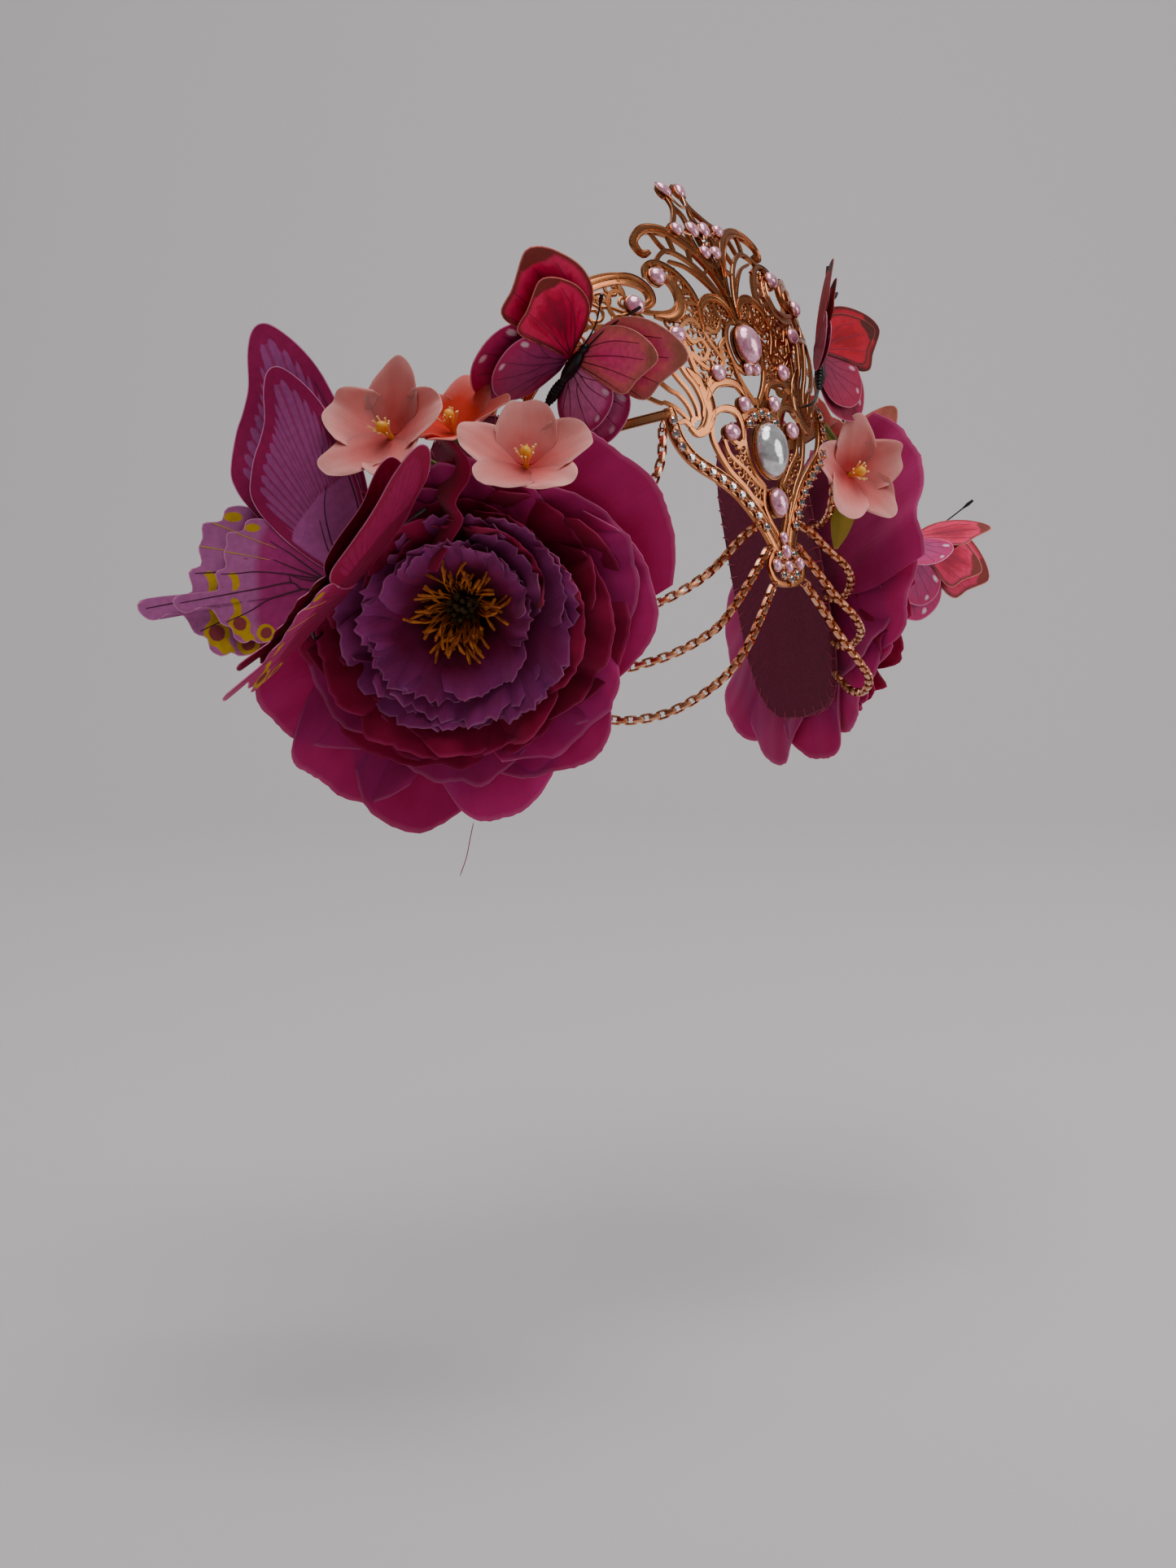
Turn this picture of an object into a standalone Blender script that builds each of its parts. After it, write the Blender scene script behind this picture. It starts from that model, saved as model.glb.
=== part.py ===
"""Flower diadem: a pierced rose-gold crown with stones and box chains, silk flowers and film butterflies.

Lengths in the tables are millimetres and the model is built in metres, +Z up. The wearer looks along -Y,
the wearer's left is +X, and the origin is on the axis of the head at the height where the crown sits.
"""
import math

import bmesh
import bpy
from mathutils import Matrix, Vector
from mathutils.geometry import delaunay_2d_cdt

MM = 0.001
GAP = 0.35

# The crown is drawn flat: s runs round the head from the centre front, t runs up the plate.
# Its plan is a chain of three arcs, and its profile leans back more and more above the brow.
FRONT_RADIUS, FRONT_HALF = 180.0, 36.0
CORNER_RADIUS, CORNER_END = 54.0, 96.0
ARM_RADIUS = 180.0
FRONT_Y = -90.0
LEAN = math.radians(13.5)
LEAN_PER_MM = 0.006
LEAN_START = 20.0
PLATE_WALL = 1.2
ON_PLATE = PLATE_WALL / 2 + GAP
STROKE_STEP = 7.2
STRAIGHT = math.radians(9)

# Strokes of the pierced plate, one half of it: s and t along each stroke, and its width.
CROWN_STROKES = (
    # name, width, points
    ("rim", 5.2, ((45, 17), (43.6, 6), (38, -2.6), (27, -9.8), (18.5, -16.4), (9, -28), (3.6, -38),
                 (0, -44))),
    ("inner_rib", 1.9, ((32, 42.4), (29.6, 30), (26.4, 13), (27.2, 4), (22, -7), (14.5, -15), (7.5, -26),
                       (2.5, -35))),
    ("corner_swan", 1.8, ((29, 24), (27, 13), (29.5, 7.6), (33.2, 6.2), (36.2, 8.6), (35.2, 12),
                          (32.6, 12))),
    ("corner_link", 1.8, ((36.4, 9), (39, 11.6), (42, 11))),
    ("lobe_arch", 1.7, ((27.5, 11), (23.5, 14.6), (18, 15.6), (12.4, 14), (10.6, 9), (11.5, 3.6),
                       (16, 0.5))),
    ("lobe_foot", 1.6, ((22, 4), (20, -2), (14, -7), (8, -13), (3, -16))),
    ("moon_arch", 1.8, ((27, 18.5), (23, 23.4), (17, 24.9), (11, 24.6), (6.2, 20.6), (8.6, 14.4),
                       (10.6, 10))),
    ("tear_side", 1.8, ((9.5, 34), (8, 27.6), (4.6, 21.4), (0, 16))),
    ("tear_foot", 2.2, ((0, 19), (0, 12), (0, 8))),
    ("oval_cheek", 1.7, ((0, 14.5), (6.4, 13.6), (10.6, 8.4), (11, 0), (8.6, -9), (4.2, -14.6))),
    ("cheek_link", 1.7, ((10.6, 2), (15, 2.2), (18, 4))),
    ("under_frame", 2.0, ((4.6, -14), (6.4, -20.6), (5, -26), (1.6, -32), (0, -38))),
    ("under_bridge", 1.6, ((4, -20.4), (8, -20.4), (12.4, -17.6))),
    ("collar", 2.0, ((0, 48.6), (6, 47), (9.4, 42), (9.6, 36), (7.6, 31), (2.4, 28.2))),
    ("collar_wing", 1.8, ((9.4, 42), (14, 38), (14.6, 32), (19.3, 28.5), (24.5, 24), (27.4, 16))),
    ("shoulder_arch", 2.0, ((20.6, 44), (19.6, 51), (16, 55.6), (11, 57.6), (5.4, 56), (2.8, 51),
                           (1.6, 47))),
    ("shoulder_leaf", 1.6, ((18.6, 46), (14, 44), (10, 48), (10.6, 53), (9.6, 57))),
    ("panel_scroll", 1.6, ((29.6, 36.6), (24.6, 33.6), (21, 37), (23, 41.4), (27.6, 40.4), (31, 46))),
    ("panel_vine", 1.6, ((20.6, 45), (24.6, 49), (30, 47), (34, 43))),
    ("panel_hook", 1.5, ((14.4, 33), (17.4, 38), (19.6, 42), (20.4, 46))),
    ("panel_base", 1.6, ((22, 29.6), (26, 32), (30.3, 36.6))),
    ("second_outer", 2.1, ((19.6, 50), (18.6, 57), (20.8, 64), (25.4, 69.8), (31, 72.4), (36.4, 71),
                          (38.6, 66.4))),
    ("second_inner", 1.7, ((30.4, 66), (27.4, 61.6), (27.4, 57.4), (30.6, 53.6), (36, 52), (43, 52.6),
                          (46.5, 54.5))),
    ("second_lace_a", 1.4, ((19.4, 60), (23, 60), (27, 62))),
    ("second_lace_b", 1.4, ((22.8, 66.6), (25.4, 64.4), (28.4, 64))),
    ("second_lace_c", 1.4, ((18.6, 54.4), (22.6, 55.6), (27.8, 56.6))),
    ("gem_bridge", 2.0, ((34, 66), (33.5, 72))),
    ("big_outer", 2.4, ((0, 58), (2.6, 66), (6.4, 74), (12, 81.4), (18, 86.2), (25, 87.8), (32, 86),
                       (36.6, 81), (35, 76.2), (31, 77))),
    ("big_inner", 1.8, ((1.8, 50), (4.6, 59), (9.4, 68), (15.6, 74.4), (22, 77.4), (27, 75.6), (31, 72))),
    ("big_lace_a", 1.3, ((5, 70), (8.6, 67))),
    ("big_lace_b", 1.3, ((10.6, 79), (12.6, 72))),
    ("big_lace_c", 1.3, ((18, 85.6), (18.6, 77))),
    ("big_lace_d", 1.3, ((26, 87), (24.6, 81), (22.6, 77))),
    ("fan_rib_a", 1.3, ((1.6, 52), (8, 62), (16, 70), (24, 73))),
    ("spine", 2.2, ((0, 46), (0, 58), (0, 70), (0, 79))),
    ("lozenge", 2.2, ((0, 70), (4.4, 73.4), (6, 79), (5.4, 86), (0, 91))),
    ("lozenge_fill", 4.4, ((0, 75), (0, 86))),
    ("tip_stem", 1.9, ((4.6, 104), (5, 98), (9, 92), (13, 88.4), (17.4, 85))),
    ("tip_inner", 1.6, ((5, 99), (2.6, 94), (3.2, 88))),
    ("tip_lobe", 1.6, ((12.5, 87), (9.6, 82.6), (5.6, 79))),
    ("side_top", 2.6, ((45.5, 54), (40, 56.4), (39.4, 61.6), (43.6, 66.4), (50, 67.8), (59, 67), (71, 63.4),
                       (85, 55), (99, 42), (111, 27), (117, 15))),
    ("side_mid", 2.4, ((33, 42), (45, 42.8), (58, 43.4), (71, 43), (84, 38), (96, 28), (108, 13))),
    ("side_foot", 3.4, ((44, 15), (56, 13.6), (72, 12), (90, 10.6), (106, 10), (118, 12))),
    ("rib_near", 1.5, ((44, 17), (45, 27), (42, 36), (36, 41.6))),
    ("rib_second", 1.5, ((44, 17), (50, 24), (54, 33), (55, 43))),
    ("rib_third", 1.5, ((46, 16), (57, 21), (66, 30), (72, 43))),
    ("rib_fourth", 1.5, ((60, 13.4), (72, 18), (82, 27), (88, 36))),
    ("inner_corner", 2.2, ((31, 31), (37, 27.6), (42, 22), (44.6, 15))),
    ("inner_corner_low", 1.8, ((27.4, 20), (34, 18.6), (39, 16.6), (44, 14.6))),
    ("lace_c1", 1.5, ((47, 43), (50.6, 49), (48, 55), (51, 61), (50, 67))),
    ("lace_c2", 1.5, ((51, 49), (56.4, 52), (57.4, 58), (54, 62), (50.6, 61))),
    ("lace_c3", 1.5, ((57, 58), (62, 61), (66, 65))),
    ("lace_c4", 1.5, ((58, 43), (61, 49), (67, 50), (69.6, 55), (66, 60), (61.6, 59))),
    ("lace_c5", 1.5, ((69.6, 55), (75, 57), (77, 60))),
    ("lace_c6", 1.5, ((71, 43), (75, 49), (81, 49), (84, 55))),
    ("lace_c7", 1.5, ((84, 38), (86, 44), (92, 46), (92, 49))),
    ("lace_c8", 1.5, ((95, 29), (100, 34), (104, 36))),
    ("lace_c9", 1.5, ((96, 28), (92, 20), (84, 16), (80, 11.6))),
    ("tail_side", 2.2, ((0, -34), (5, -37.6), (9.6, -42.6), (8, -48.6), (2, -50.6), (0, -50))),
    ("tail_fill", 6.0, ((0, -36), (0, -48))),
)
CROWN_PADS = (
    # s, t, half width, half height, turn in degrees; discs of sheet that carry the stones
    (0, -1.2, 7.4, 10.6, 10), (0, 38.6, 6.6, 8.2, 0), (0, -20.4, 4.8, 5.6, 0), (34, 66.2, 3.8, 3.8, 0),
    (48, 55.6, 3.8, 3.8, 0), (34.4, 43.2, 4.0, 3.6, 0), (19.3, 28.4, 3.6, 3.4, 0), (8.9, 16.4, 3.2, 3.2, 0),
    (18, 6.4, 4.2, 3.2, 0), (12.5, 87, 3.0, 3.0, 0), (4.7, 106, 2.8, 4.0, 20), (2.6, 30, 2.8, 2.6, 0),
)

STONES = (
    # node, s, t, half width, half height, turn, mirrored, material
    ("stone_centre_clear", 0, -1.2, 6.6, 9.8, 10, False, "crystal"),
    ("stone_brow_pink", 0, 38.6, 5.4, 6.9, 0, False, "pink_stone"),
    ("stone_drop_pink", 0, -20.4, 4.0, 4.8, 0, False, "pink_stone"),
    ("stone_scroll", 34, 66.2, 3.0, 3.0, 0, True, "pink_stone"),
    ("stone_side", 48, 55.6, 3.0, 3.0, 0, True, "pink_stone"),
    ("stone_shoulder", 34.4, 43.2, 3.2, 2.7, 0, True, "pink_stone"),
    ("stone_cheek", 19.3, 28.4, 2.9, 2.6, 0, True, "pink_stone"),
    ("stone_moon", 8.9, 16.4, 2.5, 2.5, 0, True, "pink_stone"),
    ("stone_lobe", 18, 6.4, 3.4, 2.6, 0, True, "pink_stone"),
)
STONE_SIDES = 8
LARGE_STONE, LARGE_SIDES = 4.5, 12
COLLET = 0.34
LEDGE_SHARE = 0.86
STONE_HEIGHT = 0.42
TABLE_SHARE = 0.55

# Rows of small stones: each is one strip of settings with its stones on it.
SMALL_SIDES = 8
RHINESTONE = 1.35
RIM_STONES = ((43.8, 12.0), (43.9, 7.4), (42.4, 2.8), (39.3, -1.4), (35.3, -4.6), (31.0, -7.2), (26.7, -9.9),
              (22.5, -12.9), (18.5, -16.3), (14.9, -20.3), (11.6, -24.4), (8.4, -28.8))
ARC_STONES = ((-7.6, 9.4), (-4.2, 12.0), (0, 13.0), (4.2, 12.0), (7.6, 9.4))
TAIL_STONES = ((0, -34.2, 1.6), (0, -38.4, 1.9), (-4.4, -39.6, 1.3), (4.4, -39.6, 1.3), (-6.6, -43.4, 1.7),
               (6.6, -43.4, 1.7), (0, -43.6, 1.7), (-3.9, -47.2, 1.4), (3.9, -47.2, 1.4), (0, -48.9, 1.4))
PLUME_STONES = ((-3.2, 86.6, 2.5), (3.2, 86.6, 2.5), (0, 81, 1.8), (-3.0, 76.2, 2.1), (3.0, 76.2, 2.1),
                (-12.2, 86.6, 2.2), (12.2, 86.6, 2.2))
PLUME_LINKS = (((-12.2, 86.6), (-6, 84.4), (-3, 86)), ((12.2, 86.6), (6, 84.4), (3, 86)),
               ((-3, 86.6), (0, 81), (3, 86.6)), ((-3, 76.2), (0, 81), (3, 76.2)))
TIP_STONES = ((-4.8, 106, 2.5), (4.8, 106, 2.5))
TIP_LINK = ((-4.8, 106), (-2.6, 99), (0, 97), (2.6, 99), (4.8, 106))
UNDER_STONES = ((-2.5, 30, 2.0), (2.5, 30, 2.0))
UNDER_LINK = ((-2.5, 30), (2.5, 30))
ROW_BAND = 3.6
ROW_STEP = 3.6
LINK_BAND = 1.2
SMALL_WALL = 0.7
SMALL_RISE = 0.75
RIM_BAND = ((43.8, 14.0), (43.9, 7.4), (42.4, 2.8), (39.3, -1.4), (35.3, -4.6), (31.0, -7.2), (26.7, -9.9),
            (22.5, -12.9), (18.5, -16.3), (14.9, -20.3), (11.6, -24.4), (7.2, -30.4))
ARC_BAND = ((-9.0, 7.6), (-7.6, 9.4), (-4.2, 12.0), (0, 13.0), (4.2, 12.0), (7.6, 9.4), (9.0, 7.6))
TAIL_PLATE = (0, -41.6, 8.8, 9.8, 0, 12)

# Box chains, seen flat on the same surface: s, t and how far they hang off it.
CHAIN_WIDTH = 3.0
CHAINS = (
    # name, route points, and t where it meets the pad's front edge
    ("chain_upper", ((14, -28.8, 0), (18, -30.4, 0), (24, -33.5, 0), (32, -38.5, 0), (42, -44, 1),
                     (55, -49.5, 0), (70, -53, -1.5), (84, -53.5, -1)), -51),
    ("chain_middle", ((9.2, -37.2, 0), (13.6, -41, 0), (21, -47.5, 0), (31, -56, 0), (43, -64, 1),
                      (57, -69.5, 0), (72, -72, -1.5), (86, -72, -1)), -69),
    ("chain_lower", ((10.2, -51, 0), (13.6, -54.8, 0), (20, -62, 0), (29, -71.5, 0), (40, -80, 0),
                     (54, -87, 0), (69, -91, -1.5), (86, -89.5, -1)), -81),
    ("chain_corner", ((48.8, 10.0, 0), (49.9, 4.5, 0), (52.4, -3, 0), (59, -12, 0), (70, -19.5, -1.5),
                      (83, -23, -1)), -23),
)
CHAIN_POINTS = 12

# Felt pads behind the flowers, one on each side: the plate's arms are stitched to them.
PAD_CENTRE = (120.0, -34.0)
PAD_HALF = (24.0, 61.0)
PAD_WALL = 2.0
ON_PAD = ON_PLATE + PAD_WALL + GAP
PAD_SIDES = 20
PAD_CORNER = 0.55
PAD_BENDS_S = (110, 128)
PAD_BENDS_T = (-60, -15, 15)

# Peonies: where the calyx stands and how the flower faces on each side, and its outer petals one by one.
PEONIES = (
    # side, foot, axis, root on the pad (s, t)
    ("right", (-99.5, -34, -53.7), (-0.84, -0.53, -0.10), (-121, -44)),
    ("left", (95, -30.5, -50), (0.91, -0.40, -0.10), (121, -40)),
)
OUTER_PETALS = (
    # angle round the flower, reach, half width in degrees
    (30, 78, 24), (62, 49, 26), (-12, 66, 34), (-52, 70, 34), (-97, 76, 34), (-143, 76, 34), (172, 62, 34),
    (132, 45, 34), (97, 41, 30),
)
PEONY_LAYERS = (
    # layer, material, petals, reach, reach at the top, rise at the rim, curve of the rise, ruffle
    ("middle", "crimson_silk", 7, 58, 33, 20.0, 1.3, 1.4),
    ("inner", "lilac_silk", 9, 44, 30, 22.0, 0.95, 1.0),
)
STAMEN_RINGS = (
    # radius, height above the inner petals
    (3.0, 0), (3.4, 0.3), (9, 7), (16, 15), (14, 16.2), (8, 10), (5, 14), (2, 15),
)
STAMEN_SIDES = 12
INNER_HALF = 34.0
OUTER_RISE = 12.0
OUTER_CURVE = 1.05
OUTER_RUFFLE = 1.6
OUTER_SHARES = (0.38, 0.72, 1.0)
PETAL_WALL = 1.3
NOTCH = 0.2
PEONY_SIDES = 27
HUB = 6.0

# Small five-petalled flowers: foot of the petals, facing direction, reach of a petal and root (s, t, off).
BLOSSOMS = (
    ("blossom_right_back", (-136.8, -32.0, 4.9), (-0.83, -0.15, 0.53), 23.0, (-134, 12, ON_PAD)),
    ("blossom_right_middle", (-113.2, -39.8, 4.0), (-0.48, -0.08, 0.87), 17.0, (-114, 18, ON_PAD)),
    ("blossom_right_front", (-117.8, -76.7, -5.2), (-0.50, -0.42, 0.76), 22.0, (-106, 2, ON_PAD)),
    ("blossom_left_front", (58.2, -86.4, -11.0), (-0.20, -0.95, 0.22), 16.5, (66, 12.8, ON_PLATE)),
    ("blossom_left_back", (97.0, -36.0, 5.5), (0.60, -0.30, 0.74), 18.0, (114, 18, ON_PAD)),
)
BLOSSOM_RISE = 12.0
BLOSSOM_HALF = 44.0

# Butterflies of printed film on wire: half outlines as sideways and forwards, from the body.
SWALLOWTAIL = ((0, 9), (14, 24), (34, 38), (62, 47), (84, 43), (80, 32), (67, 12), (54, -6), (45, -20),
               (40, -31), (42, -40), (37, -48), (38, -62), (31, -66), (29, -50), (16, -46), (5, -26),
               (0, -14))
BRUSHFOOT = ((0, 7), (8, 16), (22, 28), (37, 33), (40, 26), (34, 12), (26, 2), (33, -6), (31, -19),
             (22, -25), (11, -22), (4, -13), (0, -9))
WING_FILM = 0.9
BUTTERFLIES = (
    # name, outline, scale, body, head direction, back direction, left raise, right raise, end of the wire
    ("swallowtail", SWALLOWTAIL, 0.97, (-148.9, -21.7, -44.7), (0.499, -0.454, 0.738),
     (-0.832, -0.012, 0.556), 33, 45, ((-153.8, -10.6, -64.5), (-141.7, -2.9, -63.1))),
    ("crimson_right", BRUSHFOOT, 0.95, (-81.0, -65.8, 29.4), (0.195, -0.566, 0.801),
     (-0.687, -0.661, -0.301), 30, 21, ((-79.8, -48.0, 14.2), (-77.5, -46.6, 13.4))),
    ("crimson_left", BRUSHFOOT, 0.92, (42.1, -84.4, 33.6), (0.518, 0.334, 0.787),
     (0.413, -0.904, 0.112), 25, 25, ((29.4, -89.0, 15.9), (28.5, -85.5, 15.0))),
    ("ringlet_left", BRUSHFOOT, 1.0, (141.2, -58.8, -43.0), (0.897, -0.013, 0.441),
     (0.326, -0.654, -0.683), 55, 55, ((119.0, -57.2, -52.2), (101.7, -57.9, -52.1))),
    ("rosy_left", BRUSHFOOT, 0.9, (133.3, -30.5, -25.4), (0.10, 0.30, 0.93), (0.94, -0.24, 0.10), 30, 30,
     ((128.2, -36.4, -46.2), (115.8, -25.8, -37.2))),
)
BODY_PROFILE = (
    # place along the body, thickness; the wire follows
    (14, 0.8), (11, 1.9), (8.4, 1.4), (3, 2.2), (-3, 1.6), (-9, 1.8), (-15.4, 0.7),
)
BODY_RADIUS = 2.2
WIRE = 0.6
WIRE_POINTS = 9
NECK = (-20.0, -1.5)
BODY_SIDES = 6

# One leaf below the left front flower: places along its rib as world points, and its half width there.
LEAF = (
    # x, y, z, half width
    (70.1, -64.1, 6.4, 0.9), (72.0, -68.5, 0, 1.2), (72.5, -73, -8, 3.0), (72.3, -74.5, -17, 4.7),
    (71.8, -74, -26, 4.8), (71.0, -73, -34, 3.2), (70.2, -72, -40, 0.6),
)
LEAF_SIDE = (0.42, -0.86, 0.0)
LEAF_FOLD = 0.45
LEAF_WALL = 1.0

COLOURS = {
    # material: colour, roughness, metallic
    "rose_gold": ((0.66, 0.29, 0.18), 0.30, 1.0),
    "crystal": ((0.78, 0.80, 0.82), 0.05, 0.0),
    "pink_stone": ((0.86, 0.34, 0.47), 0.08, 0.0),
    "felt": ((0.32, 0.02, 0.09), 0.95, 0.0),
    "magenta_silk": ((0.42, 0.02, 0.16), 0.80, 0.0),
    "crimson_silk": ((0.20, 0.01, 0.05), 0.80, 0.0),
    "lilac_silk": ((0.36, 0.12, 0.36), 0.80, 0.0),
    "stamens": ((0.55, 0.18, 0.02), 0.70, 0.0),
    "peach_silk": ((0.80, 0.35, 0.27), 0.80, 0.0),
    "green_silk": ((0.42, 0.45, 0.08), 0.80, 0.0),
    "film": ((0.62, 0.05, 0.20), 0.35, 0.0),
    "purple_film": ((0.40, 0.05, 0.30), 0.35, 0.0),
    "black_body": ((0.01, 0.01, 0.01), 0.60, 0.0),
}


def material(name):
    """A Principled material from the table of colours."""
    made = bpy.data.materials.get(name)
    if made:
        return made
    colour, roughness, metallic = COLOURS[name]
    made = bpy.data.materials.new(name)
    made.use_nodes = True
    shader = made.node_tree.nodes["Principled BSDF"]
    shader.inputs["Base Color"].default_value = (*colour, 1)
    shader.inputs["Roughness"].default_value = roughness
    shader.inputs["Metallic"].default_value = metallic
    return made


def add_object(name, mesh, look, smooth=30):
    """Put a finished mesh, drawn in millimetres, into the scene in metres."""
    mesh.transform(Matrix.Scale(MM, 4))
    mesh.materials.append(material(look))
    mesh.shade_smooth()
    mesh.set_sharp_from_angle(angle=math.radians(smooth))
    made = bpy.data.objects.new(name, mesh)
    bpy.context.scene.collection.objects.link(made)
    return made


def section(s):
    """Plan of the crown: sideways place and how far back it lies, at arc length s."""
    side = 1 if s >= 0 else -1
    s = abs(s)
    turn_1 = FRONT_HALF / FRONT_RADIUS
    turn_2 = turn_1 + (CORNER_END - FRONT_HALF) / CORNER_RADIUS
    if s <= FRONT_HALF:
        turn = s / FRONT_RADIUS
        x = FRONT_RADIUS * math.sin(turn)
        back = FRONT_RADIUS * (1 - math.cos(turn))
        return side * x, back
    x = FRONT_RADIUS * math.sin(turn_1)
    back = FRONT_RADIUS * (1 - math.cos(turn_1))
    if s <= CORNER_END:
        turn = turn_1 + (s - FRONT_HALF) / CORNER_RADIUS
        x += CORNER_RADIUS * (math.sin(turn) - math.sin(turn_1))
        back += CORNER_RADIUS * (math.cos(turn_1) - math.cos(turn))
        return side * x, back
    turn = turn_2 + (s - CORNER_END) / ARM_RADIUS
    x += CORNER_RADIUS * (math.sin(turn_2) - math.sin(turn_1))
    x += ARM_RADIUS * (math.sin(turn) - math.sin(turn_2))
    back += CORNER_RADIUS * (math.cos(turn_1) - math.cos(turn_2))
    back += ARM_RADIUS * (math.cos(turn_2) - math.cos(turn))
    return side * x, back


def profile(t):
    """Profile of the crown: how far back and how high the plate is, t up from the seat."""
    if t <= LEAN_START:
        return t * math.sin(LEAN), t * math.cos(LEAN)
    tip = LEAN + (t - LEAN_START) * LEAN_PER_MM
    y = LEAN_START * math.sin(LEAN) + (math.cos(LEAN) - math.cos(tip)) / LEAN_PER_MM
    z = LEAN_START * math.cos(LEAN) + (math.sin(tip) - math.sin(LEAN)) / LEAN_PER_MM
    return y, z


def middle_surface(s, t):
    """A point of the crown's middle surface."""
    x, back = section(s)
    y, z = profile(t)
    return Vector((x, FRONT_Y + y + back * math.cos(LEAN), z - back * math.sin(LEAN)))


def crown_frame(s, t):
    """Point of the middle surface, with the directions along s, along t and outwards."""
    step = 0.2
    along = (middle_surface(s + step, t) - middle_surface(s - step, t)).normalized()
    up = (middle_surface(s, t + step) - middle_surface(s, t - step)).normalized()
    out = along.cross(up).normalized()
    return middle_surface(s, t), along, up, out


def on_crown(s, t, off):
    """A point that stands off the crown's middle surface by off."""
    point, _, _, out = crown_frame(s, t)
    return point + out * off


def spline(points, count):
    """Points at even steps on a smooth curve through the given ones."""
    points = [Vector(p) for p in points]
    padded = [points[0] * 2 - points[1], *points, points[-1] * 2 - points[-2]]
    fine = []
    for a, b, c, d in zip(padded, padded[1:], padded[2:], padded[3:]):
        for i in range(12):
            u = i / 12
            fine.append(0.5 * (2 * b + (c - a) * u + (2 * a - 5 * b + 4 * c - d) * u * u
                               + (3 * b - 3 * c + d - a) * u ** 3))
    fine.append(points[-1])
    travelled = [0.0]
    for a, b in zip(fine, fine[1:]):
        travelled.append(travelled[-1] + (b - a).length)
    even = []
    place = 0
    for i in range(count):
        target = travelled[-1] * i / (count - 1)
        while place < len(fine) - 2 and travelled[place + 1] < target:
            place += 1
        share = (target - travelled[place]) / max(travelled[place + 1] - travelled[place], 1e-9)
        even.append(fine[place].lerp(fine[place + 1], min(max(share, 0), 1)))
    return even


def flat_length(points):
    """Length of a broken line."""
    return sum((Vector(b) - Vector(a)).length for a, b in zip(points, points[1:]))


def ribbon(points, width, step=STROKE_STEP):
    """Quads along a stroke, a little narrower at both ends."""
    count = max(3, round(flat_length(points) / step) + 1)
    line = spline([Vector((p[0], p[1])) for p in points], count)
    rails = []
    for i, point in enumerate(line):
        ahead = (line[min(i + 1, count - 1)] - line[max(i - 1, 0)]).normalized()
        half = width / 2 * (0.72 if i in (0, count - 1) else 1.0)
        side = Vector((-ahead.y, ahead.x)) * half
        rails.append((point + side, point - side))
    return [(a[0], a[1], b[1], b[0]) for a, b in zip(rails, rails[1:])]


def oval(s, t, half_s, half_t, turn, sides):
    """Outline of an oval, turned by degrees."""
    lean = math.radians(turn)
    ring = []
    for i in range(sides):
        a = math.tau * (i + 0.5) / sides
        x, y = half_s * math.cos(a), half_t * math.sin(a)
        ring.append(Vector((s + x * math.cos(lean) - y * math.sin(lean),
                            t + x * math.sin(lean) + y * math.cos(lean))))
    return ring


def mirrored(outlines):
    """The outlines and their mirror images on the other side of the centre line."""
    return outlines + [[Vector((-p[0], p[1])) for p in outline] for outline in outlines]


def flat_union(outlines, stones=()):
    """Triangles that cover the outlines, with the stones' outlines as edges; marks what lies in a stone."""
    points, faces = [], []
    for outline in [*outlines, *stones]:
        area = sum(a[0] * b[1] - b[0] * a[1] for a, b in zip(outline, [*outline[1:], outline[0]]))
        if area < 0:
            outline = list(reversed(outline))
        start = len(points)
        points.extend(Vector((p[0], p[1])) for p in outline)
        faces.append(list(range(start, len(points))))
    corners, _, triangles, _, _, origins = delaunay_2d_cdt(points, [], faces, 1, 0.02)
    first_stone = len(outlines)
    flat = bmesh.new()
    layer = flat.faces.layers.int.new("stone")
    made = [flat.verts.new((c[0], c[1], 0)) for c in corners]
    for triangle, origin in zip(triangles, origins):
        if not origin:
            continue
        face = flat.faces.new([made[i] for i in triangle])
        inside = [k for k in origin if k >= first_stone]
        face[layer] = 1 + inside[0] - first_stone if inside else 0
    bmesh.ops.delete(flat, geom=[v for v in flat.verts if not v.link_faces], context="VERTS")
    bmesh.ops.recalc_face_normals(flat, faces=flat.faces)
    if flat.faces[:] and flat.faces[:][0].normal.z < 0:
        bmesh.ops.reverse_faces(flat, faces=flat.faces)
    return flat, layer


def simplify(flat, layer, cuts_s=(), cuts_t=()):
    """Merge the triangles into large faces, cut them where the sheet bends, and triangulate again.

    Nearly straight edge points are left out at the front, where the plate bends little.
    """
    inner = [e for e in flat.edges if len(e.link_faces) == 2
             and e.link_faces[0][layer] == e.link_faces[1][layer]]
    verts = [v for v in flat.verts if len({f[layer] for f in v.link_faces}) == 1]
    bmesh.ops.dissolve_limit(flat, angle_limit=0.02, verts=verts, edges=inner, use_dissolve_boundaries=False)
    for vert in list(flat.verts):
        roomy = all(len(f.verts) > 4 and f[layer] == 0 for f in vert.link_faces)
        straight = len(vert.link_edges) == 2 and vert.calc_edge_angle(3.0) < STRAIGHT
        alone = flat.edges.get([e.other_vert(vert) for e in vert.link_edges][:2]) is None
        if roomy and straight and alone and abs(vert.co.x) < FRONT_HALF:
            bmesh.ops.dissolve_verts(flat, verts=[vert])
    for axis, cuts in ((0, cuts_s), (1, cuts_t)):
        for cut in cuts:
            normal = Vector((1, 0, 0)) if axis == 0 else Vector((0, 1, 0))
            bmesh.ops.bisect_plane(flat, geom=flat.verts[:] + flat.edges[:] + flat.faces[:], dist=0.05,
                                   plane_co=normal * cut, plane_no=normal)
    bmesh.ops.triangulate(flat, faces=[f for f in flat.faces if len(f.verts) > 3])


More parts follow.
